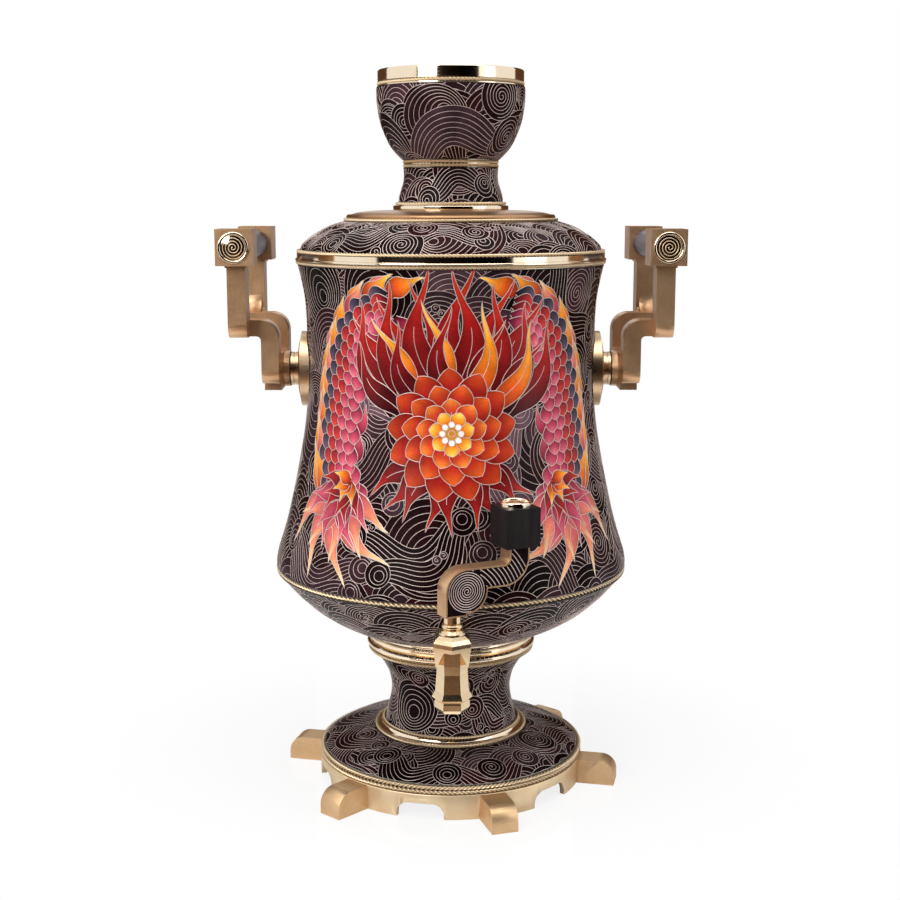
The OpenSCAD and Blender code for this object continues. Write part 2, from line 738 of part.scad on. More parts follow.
module waist_ropes() {
  d = crown_waist_h / 2 - rope_gap;
  color(WIRE) for (k = [0.25, 0.75])
    rope_ring(crown_waist_core_r + d / 2 + rope_gap / 2, crown_waist_z + crown_waist_h * k, d);
}

module crown_bowl() {
  color(ENAMEL) turned(concat(
    crown_curve, [[crown_r - crown_wall, rim_z]],
    inner_face(crown_curve, crown_wall, crown_bowl_z + 1, rim_z - 1),
    [[crown_waist_core_r - waist_ring_wall, crown_bowl_z]]
  ));
}

module crown_rope() {
  color(WIRE) rope_ring(rim_web_r + rope_d / 2 + rope_gap / 2, rim_z + rim_lip_h + mouth_web_h / 2, rope_d);
}

module crown_rim() {
  collar_z = rim_z + rim_web_h;
  color(POLISHED) turned([
    [rim_bore_r, rim_z - 4], [rim_bore_r + 1.6, rim_z - 4], [crown_r - crown_wall - lift_gap, rim_z - 2.6],
    [crown_r - crown_wall - lift_gap, rim_z], [rim_lip_r, rim_z], [rim_lip_r, rim_z + rim_lip_h],
    [rim_web_r, rim_z + rim_lip_h], [rim_web_r, collar_z], [rim_r, collar_z], [rim_r, top_z - 0.6],
    [rim_r - 0.6, top_z], [rim_bore_r + 0.6, top_z], [rim_bore_r, top_z - 0.6]
  ]);
}

// ---- Handles, drawn on the +X side ----

// Turns what follows from +Z to +X, at the handle's axis
module on_axis(x) {
  translate([x, 0, handle_z]) rotate([0, 90, 0]) children();
}

module boss() {
  dome = 1.6;
  rim_x = boss_x - dome;
  color(SATIN) difference() {
    union() {
      on_axis(boss_seat_r - boss_rim * 3) cylinder(r = boss_r, h = rim_x - boss_seat_r + boss_rim * 3);
      on_axis(rim_x) cylinder(r1 = boss_r - 1, r2 = boss_r * 0.72, h = dome);
      on_axis(boss_x - 1) cylinder(r = stub_r, h = stub_l * 0.5 + 1);
      on_axis(boss_x) cylinder(r = stub_r - 1, h = stub_l * 0.7);
      on_axis(boss_x + stub_l * 0.68) cylinder(r = stub_r, h = stub_l * 0.32);
    }
    translate([0, 0, handle_z - boss_r - 1]) cylinder(r = boss_seat_r, h = 2 * boss_r + 2);
    on_axis(boss_seat_r - boss_r) cylinder(r = bolt_r, h = boss_r * 3);
  }
}

module washer() {
  color(FIBRE) on_axis(boss_x + stub_l) difference() {
    cylinder(r = stub_r + 0.2, h = washer_t);
    translate([0, 0, -EPS]) cylinder(r = bolt_r, h = washer_t + 2 * EPS);
  }
}

// Front view of the lower arm: an upright with a round shoulder, and the step outwards
module lower_arm_front() {
  shoulder = arm_x + 0.6;
  corner_x = arm_low_x + arm_x;
  corner_z = step_z - step_t;
  difference() {
    union() {
      translate([arm_low_x, arm_foot_z]) square([arm_x, step_z - shoulder - arm_foot_z]);
      translate([arm_low_x + shoulder, step_z - step_t]) square([arm_out + arm_high_w - shoulder, step_t]);
      intersection() {
        translate([arm_low_x + shoulder, step_z - shoulder]) circle(shoulder);
        translate([arm_low_x, step_z - shoulder]) square([shoulder, shoulder]);
      }
      translate([corner_x - EPS, corner_z - step_fillet]) square([step_fillet, step_fillet + EPS]);
    }
    translate([corner_x + step_fillet, corner_z - step_fillet]) circle(step_fillet);
  }
}

// Side view of the lower arm, with its round foot
module lower_arm_side() {
  translate([arm_low_y, arm_foot_z + arm_round]) square([arm_y, step_z - arm_foot_z - arm_round]);
  translate([arm_low_y, arm_foot_z]) square([arm_y - arm_round, arm_round + 1]);
  translate([arm_low_y + arm_y - arm_round, arm_foot_z + arm_round]) circle(arm_round);
}

// Side view of the upper arm: a round foot and an upright
module upper_arm_side() {
  out_y = arm_high_y + arm_y;
  foot_z = step_z - step_t;
  translate([arm_low_y, foot_z + arm_round]) square([out_y - arm_low_y, step_t - arm_round]);
  translate([arm_low_y, foot_z]) square([out_y - arm_round - arm_low_y, step_t]);
  translate([out_y - arm_round, foot_z + arm_round]) circle(arm_round);
  translate([arm_high_y, foot_z + arm_round]) square([arm_y, block_z - lip_t - foot_z - arm_round]);
}

// Side view of the fillet between the step and the upright, towards the middle
module fillet_side() {
  fillet = step_t + 1;
  difference() {
    translate([arm_high_y - fillet, step_z - 1]) square([fillet + 1, fillet + 1]);
    translate([arm_high_y - fillet, step_z + fillet]) circle(fillet);
  }
}

// Stands a side view of an arm, drawn over Y and Z, at x with a width along X
module side_on(x, w) {
  translate([x, 0, 0]) rotate([90, 0, 90]) linear_extrude(w) children();
}

module arm() {
  lip = [arm_high_w + 2 * lip_w, arm_y + lip_w, lip_t];
  intersection() {
    upright(arm_low_y, arm_y) lower_arm_front();
    side_on(arm_low_x, arm_out + arm_high_w) lower_arm_side();
  }
  side_on(arm_high_x, arm_high_w) upper_arm_side();
  side_on(arm_high_x + fillet_in, arm_high_w - fillet_in - 0.5) fillet_side();
  translate([arm_high_x - lip_w, arm_high_y, block_z - lip_t]) cube(lip);
}

module yoke() {
  color(SATIN) difference() {
    union() {
      on_axis(yoke_x) cylinder(r = base_block / 2, h = base_block_t - arm_x + EPS);
      translate([arm_low_x, -arm_gap, handle_z - base_block / 2]) cube([arm_x, 2 * arm_gap, base_block]);
      arm();
      mirror([0, 1, 0]) arm();
    }
    on_axis(yoke_x - EPS) cylinder(r = bolt_r, h = bolt_in + 1);
  }
}

module blocks() {
  color(SATIN) for (s = [0, 1]) mirror([0, s, 0]) difference() {
    translate([grip_x - block_w / 2, arm_high_y, block_z]) cube([block_w, block_l, block_w]);
    translate([grip_x, arm_high_y - 1, grip_z]) rotate([-90, 0, 0])
      cylinder(r = rod_r + run_fit, h = block_l * rod_in + 1);
  }
}

module grip() {
  half = arm_high_y;
  color(GRIP_WOOD) translate([grip_x, 0, grip_z]) rotate([90, 0, 0]) difference() {
    turned([
      [0, -half], [grip_r - 1.2, -half], [grip_r - 0.5, -half + 0.7], [grip_r - 0.1, -half * 0.5],
      [grip_r, 0], [grip_r - 0.1, half * 0.5], [grip_r - 0.5, half - 0.7], [grip_r - 1.2, half], [0, half]
    ]);
    translate([0, 0, -half - 1]) cylinder(r = rod_r + run_fit, h = 2 * half + 2);
  }
}

module rod() {
  half = arm_high_y + block_l * rod_in;
  color(IRON) translate([grip_x, half, grip_z]) rotate([90, 0, 0]) cylinder(r = rod_r, h = 2 * half);
}

// A low round cap with a soft edge, standing on z = 0
module spiral_cap(r, h) {
  turned([[0, 0], [r, 0], [r, h * 0.6], [r - h * 0.4, h], [0, h]]);
}

module caps() {
  color(POLISHED) for (s = [0, 1]) mirror([0, s, 0])
    translate([grip_x, arm_high_y + block_l, grip_z]) rotate([-90, 0, 0]) spiral_cap(cap_r, cap_h);
}

module bolt() {
  in_r = waist_r - tank_wall;
  head_x = sqrt(pow(in_r, 2) - pow(bolt_r * 1.9, 2)) - 0.1;
  color(IRON) on_axis(head_x) {
    translate([0, 0, -bolt_r]) cylinder(r = bolt_r * 1.8, h = bolt_r, $fn = 6);
    cylinder(r = bolt_r, h = yoke_x + bolt_in - head_x);
  }
}

module on_left() {
  mirror([1, 0, 0]) children();
}

// ---- Tap, drawn round its own upright axis and moved to the front ----

module at_tap() {
  translate([0, -tap_y, 0]) children();
}

// The level passage from the tank to the plug
module tap_drill(r) {
  translate([0, -tap_y, inlet_z]) rotate([-90, 0, 0]) cylinder(r = r, h = tap_y - bowl_foot_r);
}

module tap_boss() {
  skin = concat([[0, bowl_z]], bowl_curve, [[belt_r, belt_z], [0, belt_z]]);
  color(SATIN) difference() {
    translate([0, -tap_boss_y, inlet_z]) rotate([-90, 0, 0])
      cylinder(r = tap_boss_r, h = tap_boss_y - bowl_foot_r);
    turned(skin);
    translate([0, 0, foot_ring_z]) cylinder(r = mix(bowl_foot_r, belt_r, 0.19), h = belt_z - foot_ring_z);
    tap_drill(inlet_bore_r + 1.5);
  }
}

module tap_seal() {
  color(FIBRE) translate([0, -tap_boss_y, inlet_z]) rotate([90, 0, 0]) difference() {
    cylinder(r = inlet_r + 1.6, h = seal_t);
    translate([0, 0, -EPS]) cylinder(r = inlet_bore_r, h = seal_t + 2 * EPS);
  }
}

// Six-sided spout with a flat towards the front, given as its radius over the corners at each height
// above the tip: a foot band, a flare and a waisted shaft that ends inside the housing
module spout_outside() {
  foot_r = flare_r - 1.4;
  top = spout_l * 1.14;
  sides = [
    [0, 0], [foot_r - 1.5, 0], [foot_r, tip_h * 0.33], [foot_r, tip_h * 0.88], [foot_r - 0.5, tip_h],
    [flare_r, tip_h * 1.27], [flare_r, tip_h * 1.39], [spout_r + 0.9, tip_h * 1.9],
    [spout_r + 0.5, spout_l * 0.5], [spout_r, spout_l * 0.69], [spout_r + 0.3, spout_l * 0.85],
    [spout_r + 0.3, top], [0, top]
  ];
  translate([0, 0, inlet_z - spout_l]) rotate_extrude($fn = 6) polygon(sides);
}

// Six-sided housing with an edge towards the front. Its lower rim is cut away over the spout's front
module housing_outside() {
  top = housing_top_z - inlet_z;
  low = -0.94 * top;
  sides = [[0, low], [housing_r - 1.6, low], [housing_r, top], [0, top]];
  translate([0, 0, inlet_z]) difference() {
    rotate([0, 0, 30]) rotate_extrude($fn = 6) polygon(sides);
    rotate([90, 0, 0]) translate([0, 0, -2 * housing_r]) linear_extrude(4 * housing_r) polygon([
      [-housing_r * 0.385, top * 0.6], [housing_r * 0.385, top * 0.6],
      [housing_r * 0.735, low - 1], [-housing_r * 0.735, low - 1]
    ]);
  }
}

module tap_body() {
  color(POLISHED) at_tap() difference() {
    union() {
      spout_outside();
      housing_outside();
      translate([0, 0, inlet_z]) rotate([-90, 0, 0]) cylinder(r = inlet_r, h = tap_y - tap_boss_y - seal_t);
    }
    translate([0, 0, housing_top_z - plug_l]) cylinder(r = plug_r + run_fit, h = plug_l + 1);
    translate([0, 0, inlet_z - spout_l - 1]) cylinder(r = spout_bore_r, h = spout_l + 1);
    translate([0, 0, inlet_z]) rotate([-90, 0, 0]) cylinder(r = inlet_bore_r, h = tap_y);
  }
}

// The screwed roof of the housing, through which the stem turns
module tap_gland() {
  sides = [
    [0, 0], [housing_r, 0], [housing_r - 0.1, roof_h * 0.37], [housing_r - 1.7, roof_h * 0.72],
    [stem_r + 3.8, roof_h], [0, roof_h]
  ];
  color(POLISHED) at_tap() difference() {
    translate([0, 0, housing_top_z]) rotate([0, 0, 30]) rotate_extrude($fn = 6) polygon(sides);
    translate([0, 0, housing_top_z - 1]) cylinder(r = stem_r + run_fit, h = roof_h + 2);
  }
}

module tap_plug() {
  low_z = housing_top_z - plug_l + lift_gap;
  color(POLISHED) at_tap() difference() {
    union() {
      translate([0, 0, low_z]) cylinder(r = plug_r, h = plug_top_z - low_z);
      translate([0, 0, low_z + 1]) cylinder(r = stem_r, h = key_z - low_z + 4);
    }
    translate([0, 0, low_z - 1]) cylinder(r = inlet_bore_r - 0.7, h = inlet_z - low_z + 1);
    translate([0, 0, inlet_z]) rotate([0, 90, key_turn]) cylinder(r = inlet_bore_r, h = plug_r + 1);
  }
}

// A flared collar with a round bead over it
module stem_bead() {
  half = bead_h * 0.24;
  color(POLISHED) at_tap() translate([0, 0, bead_z]) turned(concat(
    [[stem_r, 0], [bead_r, 0], [bead_r, bead_h * 0.14], [bead_r - 1.3, bead_h * 0.38]],
    [[bead_r - 2.1, bead_h * 0.43]],
    arc([bead_r - 1.7 - half, bead_h * 0.7], half, half, -70, 80),
    [[stem_r + 0.3, bead_h * 0.97], [stem_r, bead_h]]
  ));
}

// Turns what follows with the key, with +X along its blade
module at_key() {
  at_tap() rotate([0, 0, key_turn]) children();
}

module blade_profile() {
  tail_x = bend_x + bend_r;
  difference() {
    union() {
      translate([head_x, head_z]) circle(head_r);
      translate([head_x - head_r, key_z]) square([head_r, head_z - key_z]);
      translate([head_x, band_z]) square([bend_x - head_x, band_w]);
      intersection() {
        translate([bend_x, bend_z]) circle(bend_r + band_w);
        translate([bend_x, band_z]) square([bend_r + band_w, bend_r + band_w]);
      }
      translate([tail_x, bend_z]) square([band_w, knob_z - bend_z]);
    }
    translate([bend_x, bend_z]) circle(bend_r);
  }
}

module tap_key() {
  color(SATIN) at_key() difference() {
    union() {
      upright(-key_t / 2, key_t) blade_profile();
      translate([key_l, 0, knob_z - EPS]) cylinder(r = tenon_r, h = tenon_l);
    }
    translate([0, 0, key_z - 1]) cylinder(r = stem_r, h = 6);
  }
}

module tap_knob() {
  color(WOOD) at_key() difference() {
    translate([key_l - knob_w / 2, -knob_w / 2, knob_z]) cube([knob_w, knob_w, knob_h]);
    translate([key_l, 0, knob_z - 1]) cylinder(r = tenon_r, h = tenon_l + 1);
  }
}

module tap_cap() {
  color(POLISHED) at_key() translate([key_l, 0, knob_z + knob_h]) spiral_cap(cap_r - 0.2, knob_cap_h);
}

base_skirt();
foot(0);  // foot_1
foot(1);  // foot_2
foot(2);  // foot_3
foot(3);  // foot_4
foot(4);  // foot_5
foot(5);  // foot_6
foot_screws();
base_disc();
edge_ropes();
base_collar();
collar_ropes();
pedestal_neck();
foot_ring();
foot_rope();
tank_bowl();
belt_rope();
tank_shell();
mouth_ring();
mouth_rope();
flue_tube();
grate();
lid_band();
lid_rope();
lid_dome();
lid_shoulder();
shoulder_rope();
crown_foot();
neck_rope();
crown_neck();
waist_ring();
waist_ropes();
crown_bowl();
crown_rope();
crown_rim();
on_left() boss();  // left_boss
on_left() washer();  // left_washer
on_left() yoke();  // left_yoke
on_left() blocks();  // left_blocks
on_left() grip();  // left_grip
on_left() rod();  // left_rod
on_left() caps();  // left_caps
on_left() bolt();  // left_bolt
boss();  // right_boss
washer();  // right_washer
yoke();  // right_yoke
blocks();  // right_blocks
grip();  // right_grip
rod();  // right_rod
caps();  // right_caps
bolt();  // right_bolt
tap_boss();
tap_seal();
tap_body();
tap_gland();
tap_plug();
stem_bead();
tap_key();
tap_knob();
tap_cap();
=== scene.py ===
"""Looks of a footed charcoal samovar, built round its solid model.

The enamelled shells get coloured skins, drawn wires and a flower-and-flame panel; the ropes, caps and
inlays get their real strands and wires; every solid gets the finish of what it is made of.
"""
import json
import math
import random

import bpy
import numpy as np
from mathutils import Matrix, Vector
from mathutils.geometry import tessellate_polygon


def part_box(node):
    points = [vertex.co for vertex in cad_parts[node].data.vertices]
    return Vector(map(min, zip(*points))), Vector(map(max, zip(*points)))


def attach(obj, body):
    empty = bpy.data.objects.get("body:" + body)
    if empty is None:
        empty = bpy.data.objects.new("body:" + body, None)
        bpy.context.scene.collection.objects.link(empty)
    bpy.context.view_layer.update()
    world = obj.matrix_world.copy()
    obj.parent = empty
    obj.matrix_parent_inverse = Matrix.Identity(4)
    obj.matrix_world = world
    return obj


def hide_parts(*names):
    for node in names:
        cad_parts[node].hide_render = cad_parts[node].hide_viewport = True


bl_info = {
    "name": "Enamelled Samovar",
    "version": (1, 0, 0),
    "blender": (4, 5, 0),
    "location": "View3D > Sidebar > Samovar",
    "description": "Dresses the solids of a charcoal samovar with enamel, wire, brass and wood",
    "category": "Object",
}

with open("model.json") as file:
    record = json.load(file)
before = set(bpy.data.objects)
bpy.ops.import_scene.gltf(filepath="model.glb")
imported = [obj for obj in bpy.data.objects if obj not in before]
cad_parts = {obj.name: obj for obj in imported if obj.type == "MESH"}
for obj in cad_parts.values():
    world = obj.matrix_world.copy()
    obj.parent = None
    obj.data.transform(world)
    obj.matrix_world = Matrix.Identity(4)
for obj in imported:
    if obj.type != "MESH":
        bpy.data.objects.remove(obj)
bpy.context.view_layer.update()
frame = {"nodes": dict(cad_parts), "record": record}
BODY_OF = {node: body for body, nodes in frame["record"]["behaviour"]["bodies"].items() for node in nodes}
MM = 0.001

# Lifts over the solids, so that no two faces share a place
ENAMEL_LIFT = 0.05 * MM
PANEL_LIFT = 0.09 * MM
PANEL_STEP = 0.008 * MM
POLISH_LIFT = 0.02 * MM
WIRE_SINK = 0.04 * MM

# How often the step over an edge is halved to find where a wire meets it
HALVINGS = 7

# How often the slope along an outline is smoothed
SMOOTHINGS = 6

# An edge of a solid that rises less than this is level
LEVEL_EDGE = 0.001 * MM

# Cosine above which a face of a solid looks the wanted way
FACING = 0.999

# Ground of rows of waves: how far waves and rows stand apart, in wave sizes, and the area for each
# extra motif, in squares of the wave size
WAVES_APART, ROWS_APART = 1.6, 0.75
AREA_OF = {"wave": 16, "billow": 7, "snail": 8, "curls": 28}

# Distance between the points of each kind of line
STEP = {"wave edge": 1.6 * MM, "wave": 1.0 * MM, "snail edge": 1.2 * MM, "snail": 0.8 * MM,
        "curl edge": 0.7 * MM, "curl": 0.5 * MM, "billow": 1.5 * MM, "cap": 0.5 * MM, "blade": 0.8 * MM,
        "arc": 0.6 * MM}

# Seed of the draws, and radius of a usual wave, on each of the smaller shells
GROUNDS = {
    "base_disc": (21, 14 * MM), "pedestal_neck": (22, 12 * MM), "tank_bowl": (23, 16 * MM),
    "lid_dome": (24, 14 * MM), "crown_neck": (25, 12 * MM), "crown_bowl": (26, 14 * MM),
}
TANK_SEED = 11

# The tank's front: its half angle, how far over the blossom's middle the paler tints lie, and their
# reach, in units of the rolled-out plane
FRONT = math.radians(100)
GLOW_RISE, GLOW_REACH = 0.12, 0.56

# Colours of the wave ground: nearly black maroons, and mauve greys
DARK_TINTS = ["#0a0203", "#110405", "#180608", "#1f090b", "#270d10"]
PALE_TINTS = ["#5a424b", "#6c515b", "#664751", "#523b44"]
INLAY_TINT = "#150d10"

# Colours of the panel, from the root of a flame, petal or leaf to its tip
RED_FLAME = ["#23050a", "#5c0b0f", "#8f1512", "#b32f16"]
CRIMSON_FLAME = ["#1c0408", "#480a0e", "#7a1113", "#a32416"]
GOLD_FLAME = ["#7a160e", "#c24a12", "#e08a20", "#f2c552"]
OUTER_PETAL = ["#2c060a", "#5c0d0f", "#8c1913", "#b5401a"]
MIDDLE_PETAL = ["#3c080d", "#731111", "#a12817", "#cc5a1e"]
INNER_PETAL = ["#520c12", "#8c1a18", "#b83c20", "#de802e"]
ROSE_LEAF = ["#4a0d1a", "#8a1f38", "#b84459", "#d67a7c"]
ROSE_SCALE = ["#2a0c16", "#7a1f38", "#b23c55", "#d2707c"]
RED_SCALE = ["#1e080d", "#66111a", "#9c1f22", "#c23a30"]
DARK_SCALE = ["#0d0a10", "#221c2a", "#3c3344", "#6a4c5c"]
AMBER_LEAF = ["#8c1a10", "#c9551b", "#e79428", "#f2c45c"]
SEPAL = ["#24060a", "#560c11", "#861816", "#b03a20"]
PALE_TIP = ["#7a1a34", "#b84458", "#dc8060", "#f3d08c"]
SEED_HEAD, SEEDS = "#c9852c", "#f3ece2"


# ---- Reading the solids ----

def box(node):
    """Lowest and highest corner of a CAD node."""
    low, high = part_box(node)
    return np.array(low), np.array(high)


def mesh_arrays(node):
    """Vertices and edges of a CAD node's mesh."""
    mesh = frame["nodes"][node].data
    points = np.empty(len(mesh.vertices) * 3)
    mesh.vertices.foreach_get("co", points)
    edges = np.empty(len(mesh.edges) * 2, dtype=int)
    mesh.edges.foreach_get("vertices", edges)
    return points.reshape(-1, 3), edges.reshape(-1, 2)


def outline(node, low, high, samples=500):
    """Outer outline of a turned node between two heights, as points (radius, height) going up."""
    points, edges = mesh_arrays(node)
    turned = np.column_stack([np.hypot(points[:, 0], points[:, 1]), points[:, 2]])
    ends = turned[edges].reshape(-1, 4)
    r1, z1, r2, z2 = ends[np.abs(ends[:, 3] - ends[:, 1]) > LEVEL_EDGE].T
    inset = (high - low) * 1e-3
    heights = np.linspace(low + inset, high - inset, samples)
    radii = []
    for z in heights:
        spans = (np.minimum(z1, z2) <= z) & (np.maximum(z1, z2) >= z)
        radii.append(np.max(r1[spans] + (r2[spans] - r1[spans]) * (z - z1[spans]) / (z2[spans] - z1[spans])))
    return np.column_stack([radii, heights])


def round_axis(r, a, z):
    """Points at radius r, angle a from the front and height z."""
    return np.column_stack([r * np.sin(a), -r * np.cos(a), z])


class Sheet:
    """A turned surface rolled out flat so that shapes keep their angles: x is the angle round the
    axis from the front, y grows with the way along the outline, and one unit is one radius."""

    def __init__(self, points, rows_apart=0.5 * MM):
        way = np.concatenate([[0], np.cumsum(np.hypot(*np.diff(points, axis=0).T))])
        count = max(8, int(way[-1] / rows_apart))
        even = np.linspace(0, way[-1], count)
        self.r = np.interp(even, way, points[:, 0])
        self.z = np.interp(even, way, points[:, 1])
        self.way = even
        self.y = np.concatenate([[0], np.cumsum(np.diff(even) * 2 / (self.r[1:] + self.r[:-1]))])
        slope = np.column_stack([np.gradient(self.r, even), np.gradient(self.z, even)])
        for _ in range(SMOOTHINGS):
            slope[1:-1] = (slope[:-2] + 2 * slope[1:-1] + slope[2:]) / 4
        self.normal = np.column_stack([slope[:, 1], -slope[:, 0]]) / np.hypot(*slope.T)[:, None]
        self.top = self.y[-1]

    def radius(self, y):
        return np.interp(y, self.y, self.r)

    def height_to_y(self, z):
        return float(np.interp(z, self.z, self.y))

    def place(self, flat, lift):
        """Points on the surface, raised by lift, for flat points (x, y)."""
        x, y = flat[:, 0], flat[:, 1]
        r = np.interp(y, self.y, self.r) + lift * np.interp(y, self.y, self.normal[:, 0])
        z = np.interp(y, self.y, self.z) + lift * np.interp(y, self.y, self.normal[:, 1])
        return round_axis(r, x, z)


class Plane:
    """A flat field on a solid: across and up are its directions, and one unit is one metre."""

    def __init__(self, centre, across, up):
        self.centre, self.across, self.up = np.array(centre), np.array(across), np.array(up)
        self.out = np.cross(across, up)

    def radius(self, y):
        return np.ones(len(y))

    def place(self, flat, lift):
        """Points on the plane, raised by lift, for flat points (x, y)."""
        flat_points = self.centre + flat[:, :1] * self.across + flat[:, 1:] * self.up
        return flat_points + np.outer(np.broadcast_to(lift, len(flat)), self.out)


# ---- Making meshes and pieces ----

def linear(code):
    """Linear colour of an sRGB hex code."""
    parts = [int(code[i:i + 2], 16) / 255 for i in (1, 3, 5)]
    return [c / 12.92 if c <= 0.04045 else ((c + 0.055) / 1.055) ** 2.4 for c in parts]


def add_mesh(name, points, faces, colours=None, smooth=True):
    """A mesh object from arrays of points and of faces, which all have as many corners, with an
    optional colour for each point."""
    mesh = bpy.data.meshes.new(name)
    faces = np.asarray(faces, dtype=np.int32)
    mesh.vertices.add(len(points))
    mesh.vertices.foreach_set("co", np.asarray(points, dtype=np.float32).ravel())
    mesh.loops.add(faces.size)
    mesh.loops.foreach_set("vertex_index", faces.ravel())
    mesh.polygons.add(len(faces))
    mesh.polygons.foreach_set("loop_start", np.arange(0, faces.size, faces.shape[1], dtype=np.int32))
    mesh.polygons.foreach_set("use_smooth", np.full(len(faces), smooth))
    mesh.update(calc_edges=True)
    mesh.validate()
    if colours is not None:
        rgba = np.column_stack([colours, np.ones(len(points))]).astype(np.float32)
        mesh.color_attributes.new("Tint", "FLOAT_COLOR", "POINT").data.foreach_set("color", rgba.ravel())
    piece = bpy.data.objects.new(name, mesh)
    bpy.context.scene.collection.objects.link(piece)
    return piece


def grid_quads(rows, columns, first=0):
    """Faces of a grid of points that was written row by row."""
    a = first + (np.arange(rows - 1)[:, None] * columns + np.arange(columns - 1)).ravel()
    return np.column_stack([a, a + 1, a + columns + 1, a + columns])


def dress(piece, body, slot, look, *nodes):
    """Gives a new piece its finish and its body, and hides the CAD nodes that it stands for."""
    piece.data.materials.append(finish(look))
    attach(piece, body)
    if nodes:
        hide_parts(*nodes)


class Strips:
    """Collects raised wire ridges and coloured strips, and turns them into one mesh."""

    def __init__(self, rows=None, colours=None):
        self.points, self.quads, self.colours, self.count = [], [], [], 0
        if rows is not None:
            self.grid(rows, colours)

    def grid(self, rows, colours=None):
        """Rows of points, each an array of the same length; neighbours are joined with faces."""
        block = np.concatenate(rows)
        self.quads.append(grid_quads(len(rows), len(rows[0]), self.count))
        self.points.append(block)
        if colours is not None:
            self.colours.append(np.concatenate(colours))
        self.count += len(block)

    def make(self, name):
        colours = np.concatenate(self.colours) if self.colours else None
        return add_mesh(name, np.concatenate(self.points), np.concatenate(self.quads), colours)


# ---- Drawing in the rolled-out plane ----

def towards(a):
    """Steps of length one towards the angles a."""
    return np.stack([np.cos(a), np.sin(a)], axis=-1)


def walk(start, a, step):
    """Points of a path from start, with one step towards each of the angles but the last."""
    return start + np.vstack([(0, 0), np.cumsum(towards(a[:-1]) * step, axis=0)])


def ring(centre, radius, step, start=0.0, turn=math.tau):
    """Points of an arc; step is the wanted distance between them."""
    count = max(8, int(abs(turn) * radius / step))
    return centre + radius * towards(start + np.linspace(0, turn, count))


def spiral(centre, radius, pitch, step, start=0.0, way=1):
    """Points of an even spiral from close to the middle out to the radius."""
    turns = radius / pitch
    count = max(16, int(math.pi * radius * turns / step))
    share = np.sqrt(np.linspace(0.002, 1, count))
    return centre + radius * share[:, None] * towards(start + way * share * turns * math.tau)


def inside(points, shape):
    """Which points lie inside a closed outline."""
    low, high = shape.min(axis=0), shape.max(axis=0)
    near = np.all((points >= low) & (points <= high), axis=1)
    result = np.zeros(len(points), dtype=bool)
    if near.any():
        p = points[near]
        a, b = shape, np.roll(shape, -1, axis=0)
        up = (a[None, :, 1] > p[:, 1, None]) != (b[None, :, 1] > p[:, 1, None])
        rise = np.where(np.abs(b[:, 1] - a[:, 1]) < 1e-12, 1e-12, b[:, 1] - a[:, 1])
        cross = (b[:, 0] - a[:, 0]) * (p[:, 1, None] - a[:, 1]) / rise + a[:, 0]
        result[near] = np.sum(up & (p[:, 0, None] < cross), axis=1) % 2 == 1
    return result


class Motif:
    """A closed shape of the design with the wires drawn in it; later ones lie over earlier ones."""

    def __init__(self, shape, lines, tint=None, strip=None, lift=0.0, middle=None, size=1.0):
        self.shape, self.lines, self.tint, self.strip, self.lift = shape, lines, tint, strip, lift
        self.low, self.high = shape.min(axis=0), shape.max(axis=0)
        self.middle = shape.mean(axis=0) if middle is None else np.array(middle)
        self.size = size

    def meets(self, other):
        return bool(np.all(self.low < other.high) and np.all(other.low < self.high))

    def turned(self, angle):
        """A copy turned round the axis, without its coloured strip."""
        way = np.array((angle, 0))
        return Motif(self.shape + way, [line + way for line in self.lines], self.tint, None, self.lift,
                     self.middle + way, self.size)


# Half-width along a tongue for each kind of outline, as a share of its greatest half-width
SHAPES = {
    "flame": lambda u: ((1 - u ** 1.7) ** 0.9
                        * (0.42 + 0.62 * np.sin(math.pi * np.minimum(1, 1.35 * u)) ** 1.3)),
    "petal": lambda u: 0.97 * np.sin(math.pi * u ** 1.35) ** 0.75 + 0.16 * (1 - u) ** 3,
}


def tongue(start, heading, length, width, kind, stops, steps, columns, turn=0.0, sway=0.0, veins=1):
    """A leaf-like shape along a bent axis, brightest along its middle: lengths in the plane's units,
    angles in degrees, stops its colours from root to tip."""
    u = np.linspace(0, 1, steps)
    a = np.radians(heading + turn * u + sway * np.sin(math.tau * u))
    axis = walk(start, a, length / (steps - 1))
    side = towards(a + math.pi / 2) * (width / 2 * SHAPES[kind](u))[:, None]
    left, right = axis + side, axis - side
    shape = np.concatenate([left, right[::-1]])
    lines = [np.concatenate([left, right[-2::-1]])]
    inner = slice(2, int(steps * 0.6))
    lines += [(axis + side * share)[inner] for share in np.linspace(-1, 1, veins + 2)[1:-1]]
    shares = np.linspace(-1, 1, columns)
    places = np.linspace(0, 1, len(stops))
    base = np.column_stack([np.interp(u, places, channel) for channel in zip(*stops)])
    shades = 1.22 - 0.22 * np.abs(shares) - 0.3 * np.abs(shares) ** 3
    return Motif(shape, lines, strip=([axis + side * s for s in shares], [base * shade for shade in shades]))


def clip(line, covers, low_y, high_y):
    """The stretches of a line that no cover hides, cut exactly at the covers' edges."""
    def hidden(points):
        off = (points[:, 1] < low_y) | (points[:, 1] > high_y) | (np.abs(points[:, 0]) > math.pi)
        for cover in covers:
            off |= inside(points, cover.shape)
        return off

    state = hidden(line)
    if not state.any():
        return [line]
    if state.all():
        return []
    change = np.flatnonzero(state[1:] != state[:-1])
    a, b = line[change].copy(), line[change + 1].copy()
    first = state[change]
    for _ in range(HALVINGS):
        middle = (a + b) / 2
        same = hidden(middle) == first
        a[same] = middle[same]
        b[~same] = middle[~same]
    cuts = (a + b) / 2
    parts = np.split(line, change + 1)
    runs = [np.vstack([cuts[max(k - 1, 0):k], parts[k], cuts[k:k + 1]])
            for k in range(int(state[0]), len(parts), 2)]
    return [run for run in runs if len(run) > 2]


